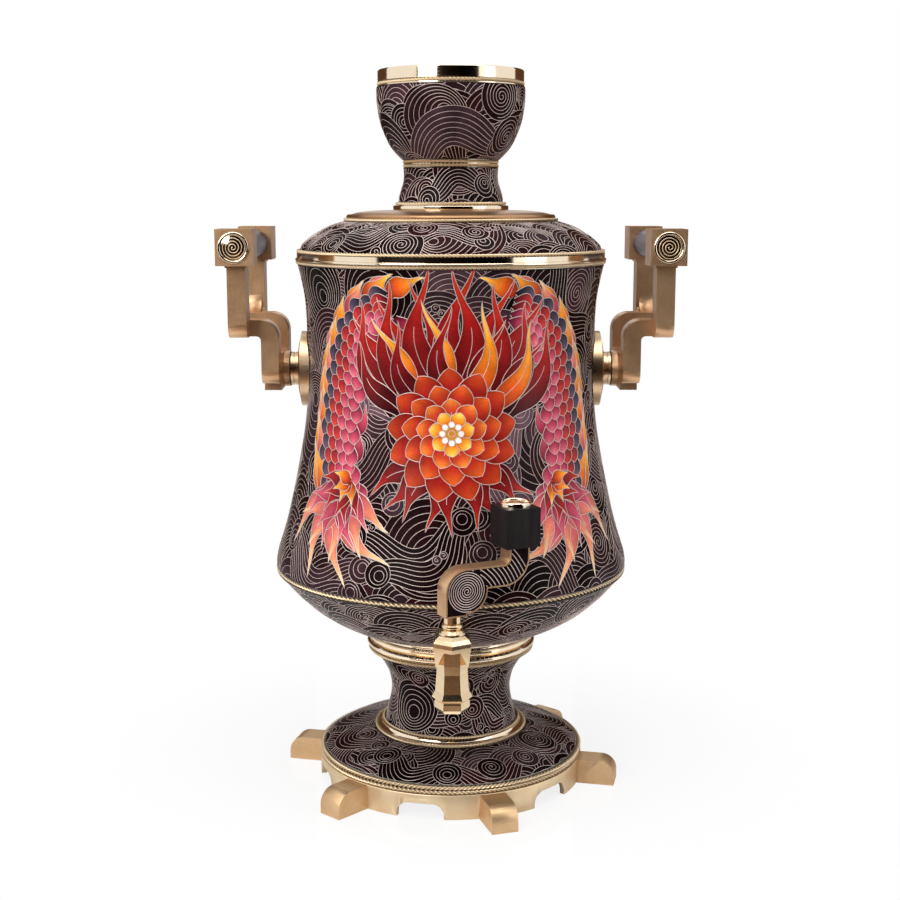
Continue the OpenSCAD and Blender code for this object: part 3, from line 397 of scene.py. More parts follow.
def beside(way):
    """Unit steps to the left of the way at each point."""
    length = np.hypot(*way.T)
    length[length == 0] = 1
    return np.column_stack([-way[:, 1], way[:, 0]]) / length[:, None]


def wire_rows(surface, line, width, height, lift, sink=0.0):
    """Three rows of points of a wire ridge along a line on a sheet or a plane: its two feet, which
    may sink into the enamel, and its crest."""
    side = beside(np.gradient(line, axis=0)) * (width / 2 / surface.radius(line[:, 1]))[:, None]
    return [surface.place(line - side, lift - sink), surface.place(line, lift + height),
            surface.place(line + side, lift - sink)]


def wrap(motifs):
    """Adds copies, a full turn away, of the motifs that cross the seam at the back."""
    result = []
    for m in motifs:
        result.append(m)
        if m.high[0] > math.pi:
            result.append(m.turned(-math.tau))
        if m.low[0] < -math.pi:
            result.append(m.turned(math.tau))
    return result


# ---- Wave ground ----

def scallop(sheet, x, y, radius, gap, drift, tint, source):
    """Rings inside one another; with drift they crowd to one side, as a breaking wave."""
    scale = 1 / sheet.radius(y)
    centre = np.array([x, y])
    shape = ring(centre, radius * scale, STEP["wave edge"] * scale)
    direction = source.uniform(0.2, 0.8) * math.pi * source.choice((-1, 1))
    aim = towards(direction) * drift
    lines = []
    rest = radius
    while rest > gap * 0.7:
        lines.append(ring(centre + aim * len(lines) * gap * scale, rest * scale, STEP["wave"] * scale))
        rest -= gap
    return Motif(shape, lines, tint=tint, middle=centre, size=radius * scale)


def snail(sheet, x, y, radius, pitch, tint, source):
    """A round field with an even spiral in it."""
    scale = 1 / sheet.radius(y)
    centre = np.array([x, y])
    edge = ring(centre, radius * scale, STEP["snail edge"] * scale)
    start = source.uniform(0, math.tau)
    way = source.choice((-1, 1))
    inner = spiral(centre, (radius - pitch * 0.8) * scale, pitch * scale, STEP["snail"] * scale, start, way)
    return Motif(edge, [edge, inner], tint=tint, middle=centre, size=radius * scale)


def curls(sheet, x, y, heading, count, size, tint, source):
    """A row of small foam curls, one beside the other, each a short hook."""
    scale = 1 / sheet.radius(y)
    found = []
    step = towards(heading) * size * 1.75 * scale
    rise = np.array([-step[1], step[0]]) * 0.35
    for k in range(count):
        radius = size * (1.0 - 0.16 * k)
        centre = np.array([x, y]) + step * k + rise * (k % 2)
        edge = ring(centre, radius * scale, STEP["curl edge"] * scale)
        way = 1 if k % 2 else -1
        start = source.uniform(0, 6)
        inner = spiral(centre, radius * 0.62 * scale, radius * 0.5 * scale, STEP["curl"] * scale, start, way)
        found.append(Motif(edge, [edge, inner], tint=tint, middle=centre, size=radius * scale))
    return found


def billow(sheet, x, y, heading, length, count, gap, bend, tint, source):
    """A bundle of wires that swings to and fro side by side, as a long rolling wave, with a
    rounded wave over each end."""
    scale = 1 / sheet.radius(y)
    steps = max(12, int(length / STEP["billow"]))
    u = np.linspace(0, 1, steps)
    a = heading + bend * np.sin(math.tau * u)
    step = length * scale / (steps - 1)
    axis = walk((x, y), a, step) - towards(a).sum(axis=0) * step / 2
    spread = (0.6 + 0.4 * np.sin(math.pi * u) ** 0.7) * gap * scale
    side = towards(a + math.pi / 2) * spread[:, None]
    lines = [axis + side * (k - (count - 1) / 2) for k in range(count)]
    shape = np.concatenate([lines[0], lines[-1][::-1]])
    found = [Motif(shape, lines, tint=tint, middle=axis[steps // 2], size=length * scale)]
    for end in (axis[0], axis[-1]):
        found.append(scallop(sheet, end[0], end[1], gap * count * 0.42, gap * 0.9, 0.3, tint, source))
    return found


def ground(sheet, seed, size, props, glow=None):
    """The wave design that covers a turned surface: scallops, billows, spirals and foam curls.
    glow is the flat point round which the paler tints lie, with its reach."""
    source = random.Random(seed)
    darks, pales = [np.array([linear(code) for code in codes]) for codes in (DARK_TINTS, PALE_TINTS)]
    gap = props.wire_gap * math.sqrt(size / props.wave_size)
    over = np.array(props.ground_tint)

    def tint(x, y):
        share = props.pale_share * source.random() ** 5
        if glow:
            near = math.exp(-(math.hypot(x - glow[0], y - glow[1]) / glow[2]) ** 4)
            share = max(share, near * source.uniform(0.55, 1.0))
        dark, pale = darks[source.randrange(len(darks))], pales[source.randrange(len(pales))]
        return (dark + (pale - dark) * share) * over

    def spots(kind):
        """Random flat points for the extra motifs of one kind, as many as the area asks for."""
        area = float(np.sum(np.gradient(sheet.way) * sheet.r)) * math.tau
        for _ in range(int(area / (size * size * AREA_OF[kind]))):
            yield source.uniform(-math.pi, math.pi), source.uniform(0.05, 0.95) * sheet.top

    found = []
    y = sheet.top + 0.4 * size / sheet.r[-1]
    row = 0
    while y > -1.2 * size / sheet.r[0]:
        r = float(sheet.radius(y))
        count = max(5, round(math.tau * r / (size * WAVES_APART)))
        for k in range(count):
            x = (k + 0.5 * (row % 2) + source.uniform(-0.22, 0.22)) * math.tau / count - math.pi
            at_y = y + source.uniform(-0.25, 0.25) * size / r
            found.append(scallop(sheet, x, at_y, size * source.uniform(1.0, 1.5),
                                 gap * source.uniform(0.9, 1.1), source.choice((0, 0, 0.3, 0.5)),
                                 tint(x, at_y), source))
        y -= size * ROWS_APART / r
        row += 1
    extras = []
    for x, y in spots("wave"):
        extras.append([scallop(sheet, x, y, size * source.uniform(1.3, 1.7), gap,
                               source.uniform(0.35, 0.55), tint(x, y), source)])
    for x, y in spots("billow"):
        extras.append(billow(sheet, x, y, source.uniform(-0.8, 0.8), size * source.uniform(3.6, 5.6),
                             source.choice((6, 7, 8, 9)), gap * 0.88, source.choice((-0.8, 0.8)),
                             tint(x, y), source))
    for x, y in spots("snail"):
        extras.append([snail(sheet, x, y, size * source.uniform(0.6, 1.15), gap * 0.8, tint(x, y), source)])
    source.shuffle(extras)
    found += [motif for group in extras for motif in group]
    for x, y in spots("curls"):
        found += curls(sheet, x, y, source.uniform(0, math.tau), source.choice((2, 3)),
                       source.uniform(2.6, 3.6) * MM, tint(x, y), source)
    return found


def skin(name, sheet, motifs, from_x, to_x, across, along):
    """A coloured skin over part of a turned surface. The topmost motif at a point tints it, paler in
    its middle than at its edge."""
    columns = max(4, int((to_x - from_x) * sheet.r.max() / across) + 1)
    rows = max(4, int(sheet.way[-1] / along) + 1)
    xs = np.linspace(from_x, to_x, columns)
    ys = np.interp(np.linspace(0, sheet.way[-1], rows), sheet.way, sheet.y)
    flat = np.column_stack([np.tile(xs, rows), np.repeat(ys, columns)])
    colours = np.tile(linear(DARK_TINTS[0]), (len(flat), 1))
    for m in motifs:
        if m.tint is None or m.high[0] < from_x or m.low[0] > to_x:
            continue
        first, last = np.searchsorted(ys, [m.low[1], m.high[1]])
        left, right = np.searchsorted(xs, [m.low[0], m.high[0]])
        index = (np.arange(first, last)[:, None] * columns + np.arange(left, right)).ravel()
        index = index[inside(flat[index], m.shape)]
        far = np.hypot(*(flat[index] - m.middle).T) / m.size
        shade = 1.15 - 0.35 * np.clip(far, 0, 1)
        colours[index] = np.array(m.tint) * shade[:, None]
    return add_mesh(name, sheet.place(flat, ENAMEL_LIFT), grid_quads(rows, columns), colours)


def draw(sheet, motifs, props, from_x=-math.pi, to_x=math.pi, margin=0.6 * MM):
    """Wires of all motifs, and the coloured strips of those that have some."""
    wires, strips = Strips(), Strips()
    low = margin / sheet.r[0]
    high = sheet.top - margin / sheet.r[-1]
    for i, m in enumerate(motifs):
        if m.high[0] < from_x or m.low[0] > to_x:
            continue
        covers = [c for c in motifs[i + 1:] if c.meets(m)]
        for line in m.lines:
            for run in clip(line, covers, low, high):
                if from_x <= run[len(run) // 2, 0] < to_x:
                    wires.grid(wire_rows(sheet, run, props.wire_width, props.wire_height, m.lift, WIRE_SINK))
        if m.strip:
            rows, colours = m.strip
            strips.grid([sheet.place(row, m.lift) for row in rows], colours)
    return wires, strips


# ---- Flower-and-flame panel ----

def plume(stations=20, reach=7.6):
    """Stations along the middle of a plume beside the blossom: place in millimetres and heading in
    degrees. It rises from under the blossom, swells outwards and bends back over its shoulder."""
    path, spot, heading = [], np.array([66.0, -44.0]), 50.0
    for k in range(stations):
        path.append((spot, heading))
        spot = spot + towards(math.radians(heading)) * reach
        heading += 8.0 if k < 5 else 3.0 if k < 13 else 9.0
    return path


def outwards(reach):
    """Whole numbers from -reach to reach, the outermost first and the middle last."""
    return sorted(range(-reach, reach + 1), key=lambda n: -abs(n))


def panel(sheet, props):
    """A blossom with flames over it, plumes and tufts beside it and sepals under it, in the order in
    which they lie on one another. Sizes in millimetres, at the radius of the blossom."""
    origin = np.array([0, sheet.height_to_y(props.panel_height)])
    unit = MM / sheet.radius(origin[1])
    found = []

    def paint(code):
        return np.array(linear(code)) * np.array(props.panel_tint)

    def put(x, y, heading, length, width, kind, colours, mirror=1, **more):
        if mirror < 0:
            heading = 180 - heading
            more["turn"] = -more.get("turn", 0)
            more["sway"] = -more.get("sway", 0)
        steps, columns = max(12, round(length / 1.8)), max(5, 2 * round(width / 4) + 1)
        start = origin + np.array([mirror * x, y]) * unit
        stops = [paint(code) for code in colours]
        found.append(tongue(start, heading, length * unit, width * unit, kind, stops, steps, columns, **more))

    def fan(x, y, first, last, count, length, width, colours, mirror, turn, sway, ripple):
        """Flames from one root, from the first heading to the last, longer and shorter by turns."""
        for k in range(count):
            side = 1 if k % 2 else -1
            put(x, y, first + (last - first) * (k / (count - 1)), length * (1 + ripple * side), width,
                "flame", colours, mirror, turn=turn, sway=sway * side, veins=0)

    # Plumes: flames along the outside, lobes along the inside, and a band of overlapping leaflets
    for mirror in (-1, 1):
        path = plume()
        last = len(path) - 1

        def across_band(k, side):
            """Heading at station k, and the point at a share of the band's half-width beside it."""
            spot, heading = path[k]
            half = 16 * (0.5 + 0.5 * math.sin(math.pi * (k + 1) / (last + 2)) ** 0.8)
            return heading, *(spot + side * half * towards(math.radians(heading + 90)))

        for k in range(last, 0, -1):
            heading, x, y = across_band(k, -0.7)
            length = (46 if k % 2 else 34) * (1 - 0.4 * k / last)
            put(x, y, heading - 66 + 16 * (k % 2), length, 19 - 4 * k / last, "flame",
                GOLD_FLAME if k % 3 else PALE_TIP, mirror, turn=78, sway=20 if k % 2 else -8, veins=0)
        for k in (last, last - 3, last - 6, 6, 3):
            heading, x, y = across_band(k, 0.8)
            put(x, y, heading + 52, 24, 12, "flame", ROSE_LEAF, mirror, turn=-56, sway=8, veins=0)
        for k in range(last + 1):
            for side in ((-0.9, -0.45, 0, 0.45, 0.9) if k % 2 else (-0.68, -0.23, 0.23, 0.68)):
                heading, x, y = across_band(k, side)
                colours = DARK_SCALE if side < -0.6 else RED_SCALE if side < 0.1 else ROSE_SCALE
                put(x, y, heading + 180 - side * 8, 14, 10.5, "petal", colours, mirror, veins=0)

    # Tufts under the plumes
    for mirror in (-1, 1):
        fan(72, -40, -138, -14, 9, 50, 17, PALE_TIP, mirror, turn=-26, sway=19, ripple=0.16)
        fan(70, -38, -122, -2, 7, 36, 15, ROSE_LEAF, mirror, turn=-22, sway=15, ripple=0.1)
        fan(67, -35, -110, 12, 6, 24, 12, RED_FLAME, mirror, turn=-18, sway=10, ripple=0.08)
        fan(66, -33, -96, 24, 4, 15, 10, GOLD_FLAME, mirror, turn=-18, sway=8, ripple=0)

    # Flames over the blossom, the outermost first
    for k in outwards(6):
        put(k * 6.0, 12, 90 - k * 6.0, 98 - abs(k) * 4.6 + 8 * (k % 2), 24, "flame", RED_FLAME,
            turn=k * 3.0, sway=24 if k % 2 else -24)
    for k in outwards(4):
        put(k * 8.0, 12, 90 - k * 10, 72 - abs(k) * 3.5 + 8 * (k % 2), 17, "flame",
            GOLD_FLAME if k % 2 else CRIMSON_FLAME, turn=k * 3.0, sway=-24 if k % 2 else 24)

    # Sepals, then the rings of petals, each with its count, root radius, length, width and veins
    for k in outwards(4):
        put(k * 5.2, -20, -90 + k * 16, 42 - abs(k) * 1.4, 16, "flame", SEPAL, turn=-k * 4,
            sway=13 if k % 2 else -13)
    rings = (
        (13, 9.0, 33.0, 19.5, OUTER_PETAL, 1), (11, 6.0, 26.0, 17.0, MIDDLE_PETAL, 1),
        (9, 4.0, 18.5, 14.0, INNER_PETAL, 1), (7, 2.5, 12.0, 10.0, AMBER_LEAF, 0),
    )
    for number, (count, root, length, width, colours, veins) in enumerate(rings):
        for k in range(count):
            a = 360 * (k + 0.5 * (number % 2)) / count + 90
            put(*(root * towards(math.radians(a))), a, length, width, "petal", colours, veins=veins, turn=7)

    # The seed head and the seeds round it
    for count, distance, size, code in ((1, 0, 4.2, SEED_HEAD), (8, 5.8, 1.9, SEEDS)):
        for k in range(count):
            centre = origin + towards(math.tau * k / count) * distance * unit
            edge = ring(centre, size * unit, 0.7 * unit)
            lines = [edge] + ([ring(centre, size * 0.5 * unit, 0.6 * unit)] if code == SEED_HEAD else [])
            rows = [centre + (edge - centre) * share for share in (0.02, 0.4, 0.75, 1.0)]
            found.append(Motif(edge, lines, strip=(rows, [np.tile(paint(code), (len(edge), 1))] * len(rows))))
    for i, m in enumerate(found):
        below = [other.lift for other in found[:i] if m.meets(other)]
        m.lift = max(below, default=PANEL_LIFT) + PANEL_STEP
    return found


# ---- Finishes ----

# The shader's input for the strength of a gloss, and the colour of the painted glints of a blasted face:
# bright specks
SPECULAR = "Specular IOR Level"
PAINTED_GLINT = "#f4e2c0"

# How wood fibres stretch: along the upright axis of the knob, and along the grips
UPRIGHT, LENGTHWISE = (1, 1, 0.05), (1, 0.05, 1)


def new_material(name):
    """An empty material and its node tree."""
    material = bpy.data.materials.new(name)
    material.use_nodes = True
    material.node_tree.nodes.clear()
    return material, material.node_tree


def add(tree, kind, values=None, output=0):
    """Adds a node and gives one of its outputs. Each value is linked if it is a socket, and otherwise
    set on the node or, as a constant, on its input."""
    made = tree.nodes.new(kind)
    for key, value in (values or {}).items():
        if isinstance(value, bpy.types.NodeSocket):
            tree.links.new(value, made.inputs[key])
        elif isinstance(key, str) and hasattr(made, key):
            setattr(made, key, value)
        else:
            made.inputs[key].default_value = value
    return made.outputs[output] if len(made.outputs) else None


def lumps(tree, size, detail=3.0, stretch=(1, 1, 1), rough=0.55):
    """Uneven pattern whose lumps are about size metres apart, in the object's own coordinates."""
    place = add(tree, "ShaderNodeTexCoord", output="Object")
    sized = add(tree, "ShaderNodeMapping", {"Vector": place, "Scale": tuple(s / size for s in stretch)})
    return add(tree, "ShaderNodeTexNoise",
               {"Vector": sized, "Scale": 1.0, "Detail": detail, "Roughness": rough}, "Fac")


def toned(tree, pattern, span, dark, light, most=1.0):
    """Colour that turns from dark to light, or as far as most, where the pattern crosses the span."""
    share = add(tree, "ShaderNodeMapRange",
                {"Value": pattern, "From Min": span[0], "From Max": span[1], "To Max": most})
    return add(tree, "ShaderNodeMix", {"data_type": "RGBA", 0: share, 6: dark, 7: light}, 2)


def finish_with(tree, colour, pattern, rough, relief=None, span=(0.3, 0.7), **main):
    """Ends a material with the main shader. Where the pattern crosses the span, the roughness goes
    from the first value of rough to the second; relief is (pattern, depth in metres), and main holds
    the shader's other constants."""
    inputs = {"Base Color": colour, **main}
    inputs["Roughness"] = add(tree, "ShaderNodeMapRange", {
        "Value": pattern, "From Min": span[0], "From Max": span[1], "To Min": rough[0], "To Max": rough[1]})
    if relief:
        inputs["Normal"] = add(tree, "ShaderNodeBump",
                               {"Strength": 1.0, "Height": relief[0], "Distance": relief[1]})
    add(tree, "ShaderNodeOutputMaterial", {"Surface": add(tree, "ShaderNodeBsdfPrincipled", inputs)})


def fired_enamel(tree, gloss, depth, shine):
    """Glass enamel: the piece's own tints under clouds as strong as depth, and finer grains that the
    powder left, with a slightly wavy face."""
    clouds, grains = lumps(tree, 14 * MM, 4.0), lumps(tree, 0.9 * MM, 2.0)
    colour = add(tree, "ShaderNodeAttribute", {"attribute_name": "Tint"}, "Color")
    for pattern, low, high in ((clouds, 1 - depth, 1 + depth * 0.7), (grains, 0.86, 1.12)):
        strength = add(tree, "ShaderNodeMapRange",
                       {"Value": pattern, "From Min": 0.3, "From Max": 0.7, "To Min": low, "To Max": high})
        colour = add(tree, "ShaderNodeVectorMath", {"operation": "SCALE", 0: colour, "Scale": strength})
    finish_with(tree, colour, grains, (gloss * 0.8, gloss * 1.3), (clouds, 0.05 * MM), **{SPECULAR: shine})


def thin_wire(tree, dark, light, size, metallic, rough):
    """Thin wire with bright and dull stretches; on the twisted rope the dull colour is painted shade."""
    wear_and_shade = lumps(tree, size)
    finish_with(tree, toned(tree, wear_and_shade, (0, 1), dark, light), wear_and_shade, rough, Metallic=metallic)


def blasted_brass(tree, dark, light, gloss):
    """Blasted casting: large soft patches, and fine even grain with painted glints: bright specks mixed into
    the colour.
    """
    grain, patch = lumps(tree, 0.45 * MM, 2.0), lumps(tree, 22 * MM, 3.0)
    colour = toned(tree, patch, (0.25, 0.75), dark, light)
    # Painted glints: bright specks mixed into the colour where the grain is high
    colour = toned(tree, grain, (0.35, 0.75), colour, (*linear(PAINTED_GLINT), 1), 0.35)
    finish_with(tree, colour, grain, (gloss * 0.85, gloss * 1.2), (grain, 0.025 * MM), Metallic=0.85)


def turned_brass(tree, dark, light, dull):
    """Lathe-turned brass: faint turning lines and smears, mirror-like where dull is small."""
    smear, lines = lumps(tree, 18 * MM, 4.0, (1, 1, 3)), lumps(tree, 3 * MM, 1.0, (0.02, 0.02, 1))
    finish_with(tree, toned(tree, smear, (0, 1), dark, light), smear, (dull, dull * 1.5),
                (lines, 0.004 * MM), (0.3, 0.75), Metallic=1.0)


def dyed_wood(tree, dark, light, gloss, fibre, run):
    """Close-grained wood: straight fibres, stretched along the axis whose share of run is small."""
    fibres, bands = lumps(tree, fibre, 5.0, run, 0.65), lumps(tree, fibre * 7, 2.0, run)
    both = add(tree, "ShaderNodeMath", {"operation": "MULTIPLY", 0: fibres, 1: bands})
    finish_with(tree, toned(tree, both, (0.16, 0.4), dark, light), fibres,
                (gloss * 0.85, gloss * 1.25), (fibres, 0.05 * MM), **{SPECULAR: 0.2})


def plain_metal(tree, dark, light, gloss, metallic=1.0):
    """Metal or fibre left as it was made: blotched, with a fine uneven face."""
    blotch, fine = lumps(tree, 9 * MM, 4.0), lumps(tree, 1.2 * MM, 3.0)
    finish_with(tree, toned(tree, blotch, (0.3, 0.7), dark, light), fine, (gloss * 0.8, gloss * 1.2),
                (fine, 0.03 * MM), Metallic=metallic)


# Each look: the function that makes it, its material and how that was made, and its values. The
# comment over it says what it gives the eye.
LOOKS = {
    # Deep, clouded colour under a smooth, slightly wavy gloss
    "enamel": (fired_enamel, "Glass enamel, fired on copper", dict(gloss=0.24, depth=0.45, shine=0.03)),
    # Evener and glossier, so that the shades of the petals stay clear
    "colour_enamel": (fired_enamel, "Coloured glass enamel, fired on copper",
                      dict(gloss=0.22, depth=0.28, shine=0.16)),
    # Pale lines, ground level with the enamel and a little scratched
    "wire": (thin_wire, "Silver-gold wire, drawn and ground",
             dict(dark="#ae9892", light="#e6d3cc", size=2.2 * MM, metallic=0.55, rough=(0.3, 0.5))),
    # Bright crests with dirt between the strands
    # Bright and darker stretches at random along the strands; the darker colour is painted shade, standing
    # for the shadow between the strands
    "rope": (thin_wire, "Brass wire, twisted",
             dict(dark="#b89c78", light="#ead7b6", size=1.5 * MM, metallic=0.7, rough=(0.28, 0.45))),
    # Warm bright lines on the caps
    "gilt": (plain_metal, "Brass wire, gilt",
             dict(dark="#cfa67c", light="#f2d8b0", gloss=0.28, metallic=0.6)),
    # Pale satin with a broad soft shine
    "satin": (blasted_brass, "Cast brass, bead-blasted", dict(dark="#d6b78e", light="#e8d2b0", gloss=0.44)),
    # The same, darker and warmer
    "warm_satin": (blasted_brass, "Cast brass, bead-blasted, darker and warmer",
                   dict(dark="#c09566", light="#dfba8e", gloss=0.42)),
    # The same, reddish and deeper, with a tighter shine: a darker copy with painted shade, for handles, key
    # and knob cap
    "shaded_satin": (blasted_brass, "Cast brass, bead-blasted, with painted shade",
                   dict(dark="#ac7b52", light="#dcae82", gloss=0.37)),
    # Nearly a mirror: dark and bright bands of the room
    "polished": (turned_brass, "Brass, turned and polished",
                 dict(dark="#ead4b4", light="#f6e8d2", dull=0.08)),
    # Bright facets with softened reflections
    "buffed": (turned_brass, "Brass, cast and buffed", dict(dark="#dcbf98", light="#efd9b6", dull=0.15)),
    # Streaked along the turning
    "turned": (turned_brass, "Brass, turned and brushed", dict(dark="#c9a581", light="#e2c6a2", dull=0.24)),
    # Brown and quiet beside the polished rings
    "browned": (turned_brass, "Brass, turned and browned", dict(dark="#a87e5b", light="#c49b74", dull=0.26)),
    # Almost black, with a dull shine along the fibres
    "ebony": (dyed_wood, "Ebony, oiled",
              dict(dark="#0b0909", light="#221c1d", gloss=0.42, fibre=0.7 * MM, run=UPRIGHT)),
    # Grey-violet streaks in near black; the fibres are drawn coarser than real ones, so that they show
    "grip": (dyed_wood, "Hornbeam, dyed dark and waxed",
             dict(dark="#251c22", light="#7d6e79", gloss=0.34, fibre=1.3 * MM, run=LENGTHWISE)),
    # Grey and dull
    "steel": (plain_metal, "Mild steel, dull", dict(dark="#4a4743", light="#77726b", gloss=0.5)),
    # Black-brown and rough
    "iron": (plain_metal, "Cast iron, sooty", dict(dark="#161413", light="#38332f", gloss=0.75)),
    # Soft silver-grey, wiped unevenly
    "tinned": (plain_metal, "Copper, tinned by hand", dict(dark="#8d8a84", light="#b9b5ac", gloss=0.38)),
    # Red-brown showing through soot
    "sooted": (plain_metal, "Copper, sooted by the fire", dict(dark="#2c2420", light="#6a4c3a", gloss=0.6)),
    # Dead black
    "fibre": (plain_metal, "Vulcanised fibre, black",
              dict(dark="#0d0b0b", light="#1c191a", gloss=0.55, metallic=0.0)),
}
ENDS = ("dark", "light")
FINISHES = {}


def finish(look):
    """The material of a look, in the colours set for it, made once."""
    if look not in FINISHES:
        maker, name, values = LOOKS[look]
        colours = bpy.context.scene.samovar_colours
        chosen = {end: (*getattr(colours, f"{look}_{end}"), 1) for end in ENDS if end in values}
        FINISHES[look], tree = new_material(name)
        maker(tree, **{**values, **chosen})
    return FINISHES[look]


def repaint(node, look, bevel=0.0):
    """Puts a finish on a CAD node, and rounds its sharp edges a little where asked."""
    piece = frame["nodes"][node]
    for slot in piece.material_slots:
        slot.material = finish(look)
    if bevel:
        weld = piece.modifiers.new("Join seams", "WELD")
        weld.merge_threshold = 0.002 * MM
        edge = piece.modifiers.new("Broken edges", "BEVEL")
        edge.width = bevel
        edge.segments = 2
        edge.limit_method = "ANGLE"
        edge.angle_limit = math.radians(40)
        edge.harden_normals = True


# ---- Settings ----

def length_setting(name, description, default):
    """A setting in metres."""
    return bpy.props.FloatProperty(name=name, description=description, default=default, unit="LENGTH")


def angle_setting(name, description, degrees):
    """A setting in degrees."""
    return bpy.props.FloatProperty(name=name, description=description, default=math.radians(degrees),
                                   subtype="ANGLE")


def colour_setting(name, description, code):
    """A colour setting, from an sRGB hex code."""
    return bpy.props.FloatVectorProperty(name=name, description=description, default=linear(code), size=3,
                                         min=0, max=1, subtype="COLOR")


class EnamelSettings(bpy.types.PropertyGroup):
    """Sizes and tints of the enamel and its wires"""
    wire_width: length_setting("Wire width", "Width of a drawn wire", 0.46 * MM)
    wire_height: length_setting("Wire height", "Height of a wire over the enamel", 0.22 * MM)
    wire_gap: length_setting("Wire spacing", "Distance between neighbouring wires", 3.4 * MM)
    wave_size: length_setting("Wave size", "Radius of a usual wave on the tank", 19 * MM)
    cap_wire: length_setting("Cap wire", "Width of the spiral wires on the caps", 0.55 * MM)
    key_wire: length_setting("Key wire", "Width of the wires on the key's blade", 0.5 * MM)
    panel_height: length_setting("Blossom height", "Height of the blossom's middle", 258 * MM)
    pale_share: bpy.props.FloatProperty(
        name="Mauve share", description="How far waves may turn to mauve grey", default=0.42, min=0, max=1,
        subtype="FACTOR")
    ground_tint: colour_setting("Ground tint", "Multiplies the colours of the wave ground", "#ffffff")
    panel_tint: colour_setting("Blossom tint", "Multiplies the colours of blossom, flames and plumes",
                               "#ffffff")


class ColourSettings(bpy.types.PropertyGroup):
    """The dark and the light colour of each look that has them"""
    __annotations__ = {
        f"{look}_{end}": colour_setting(f"{name}: {end}", f"The {end} parts of this finish", values[end])
        for look, (_, name, values) in LOOKS.items() for end in ENDS if end in values
    }


class StageSettings(bpy.types.PropertyGroup):
    """Place and lens of the camera"""
    camera_distance: length_setting("Camera distance", "Level distance from the axis", 1.0)
    camera_height: length_setting("Camera height", "Height of the lens over the floor", 0.4)
    camera_shift: length_setting("Camera shift", "Step of the camera to the left of the axis", 0.55 * MM)
    camera_tilt: angle_setting("Camera tilt", "Downward tilt", 9.582)
    camera_yaw: angle_setting("Camera yaw", "Turn of the view round the axis", 0.3)
    lens: bpy.props.FloatProperty(name="Lens", description="Focal length on a 36 mm sensor", default=58.52,
                                  unit="CAMERA")


# ---- Pieces ----

SHELLS = ("base_disc", "pedestal_neck", "tank_bowl", "tank_shell", "lid_dome", "crown_neck", "crown_bowl")
RINGS = ("base_collar", "foot_ring", "mouth_ring", "lid_band", "crown_foot", "waist_ring", "crown_rim")
ROPES = ("edge_ropes", "foot_rope", "belt_rope", "mouth_rope", "lid_rope", "shoulder_rope", "neck_rope",
         "waist_ropes", "crown_rope", "collar_ropes")


def on_both_sides(*parts):
    """Names of the nodes that the left and the right handle have alike."""
    return [f"{side}_{part}" for side in ("left", "right") for part in parts]


def turned_sheets():
    """The enamelled surfaces, rolled out between the ropes at their edges."""
    low = {node: box(node)[0][2] for node in SHELLS}
    high = {node: box(node)[1][2] for node in SHELLS}
    belt_low, belt_high = box("belt_rope")
    low["base_disc"] = box("edge_ropes")[1][2] - 0.6 * MM
    low["tank_shell"] = belt_high[2] + 0.1 * MM
    high["tank_bowl"] = belt_low[2] - 0.1 * MM
    low["tank_bowl"] += 0.4 * MM
    return {node: Sheet(outline(node, low[node], high[node])) for node in SHELLS}


class SAMOVAR_OT_tank_enamel(bpy.types.Operator):
    """Enamel, wires and the flower-and-flame panel on the tank's upper shell"""
    bl_idname = "samovar.tank_enamel"
    bl_label = "Tank Enamel"

    def execute(self, context):
        props = context.scene.samovar_enamel
        sheet = turned_sheets()["tank_shell"]
        glow = (0.0, sheet.height_to_y(props.panel_height) + GLOW_RISE, GLOW_REACH)
        motifs = wrap(ground(sheet, TANK_SEED, props.wave_size, props, glow)) + panel(sheet, props)
        for name, from_x, to_x, across in (("front", -FRONT, FRONT, 0.95 * MM),
                                           ("back_left", -math.pi, -FRONT, 1.6 * MM),
                                           ("back_right", FRONT, math.pi, 1.6 * MM)):
            cover = skin("tank_enamel_" + name, sheet, motifs, from_x, to_x, across, 1.0 * MM)
            dress(cover, "tank", "enamel", "enamel")
            wires, strips = draw(sheet, motifs, props, from_x, to_x)
            dress(wires.make("tank_wires_" + name), "tank", "rope_wire", "wire")
            if name == "front":
                dress(strips.make("tank_panel"), "tank", "enamel", "colour_enamel")
        return {"FINISHED"}


class SAMOVAR_OT_small_enamels(bpy.types.Operator):
    """Enamel and wires on the stand, the pedestal, the bowl, the lid and the crown"""
    bl_idname = "samovar.small_enamels"
    bl_label = "Other Enamels"

    def execute(self, context):
        props = context.scene.samovar_enamel
        sheets = turned_sheets()
        for node, (seed, wave_size) in GROUNDS.items():
            sheet = sheets[node]
            motifs = wrap(ground(sheet, seed, wave_size, props))
            cover = skin(node + "_enamel", sheet, motifs, -math.pi, math.pi, 1.4 * MM, 1.2 * MM)
            dress(cover, BODY_OF[node], "enamel", "enamel")
            wires, _ = draw(sheet, motifs, props)
            dress(wires.make(node + "_wires"), BODY_OF[node], "rope_wire", "wire")
        return {"FINISHED"}


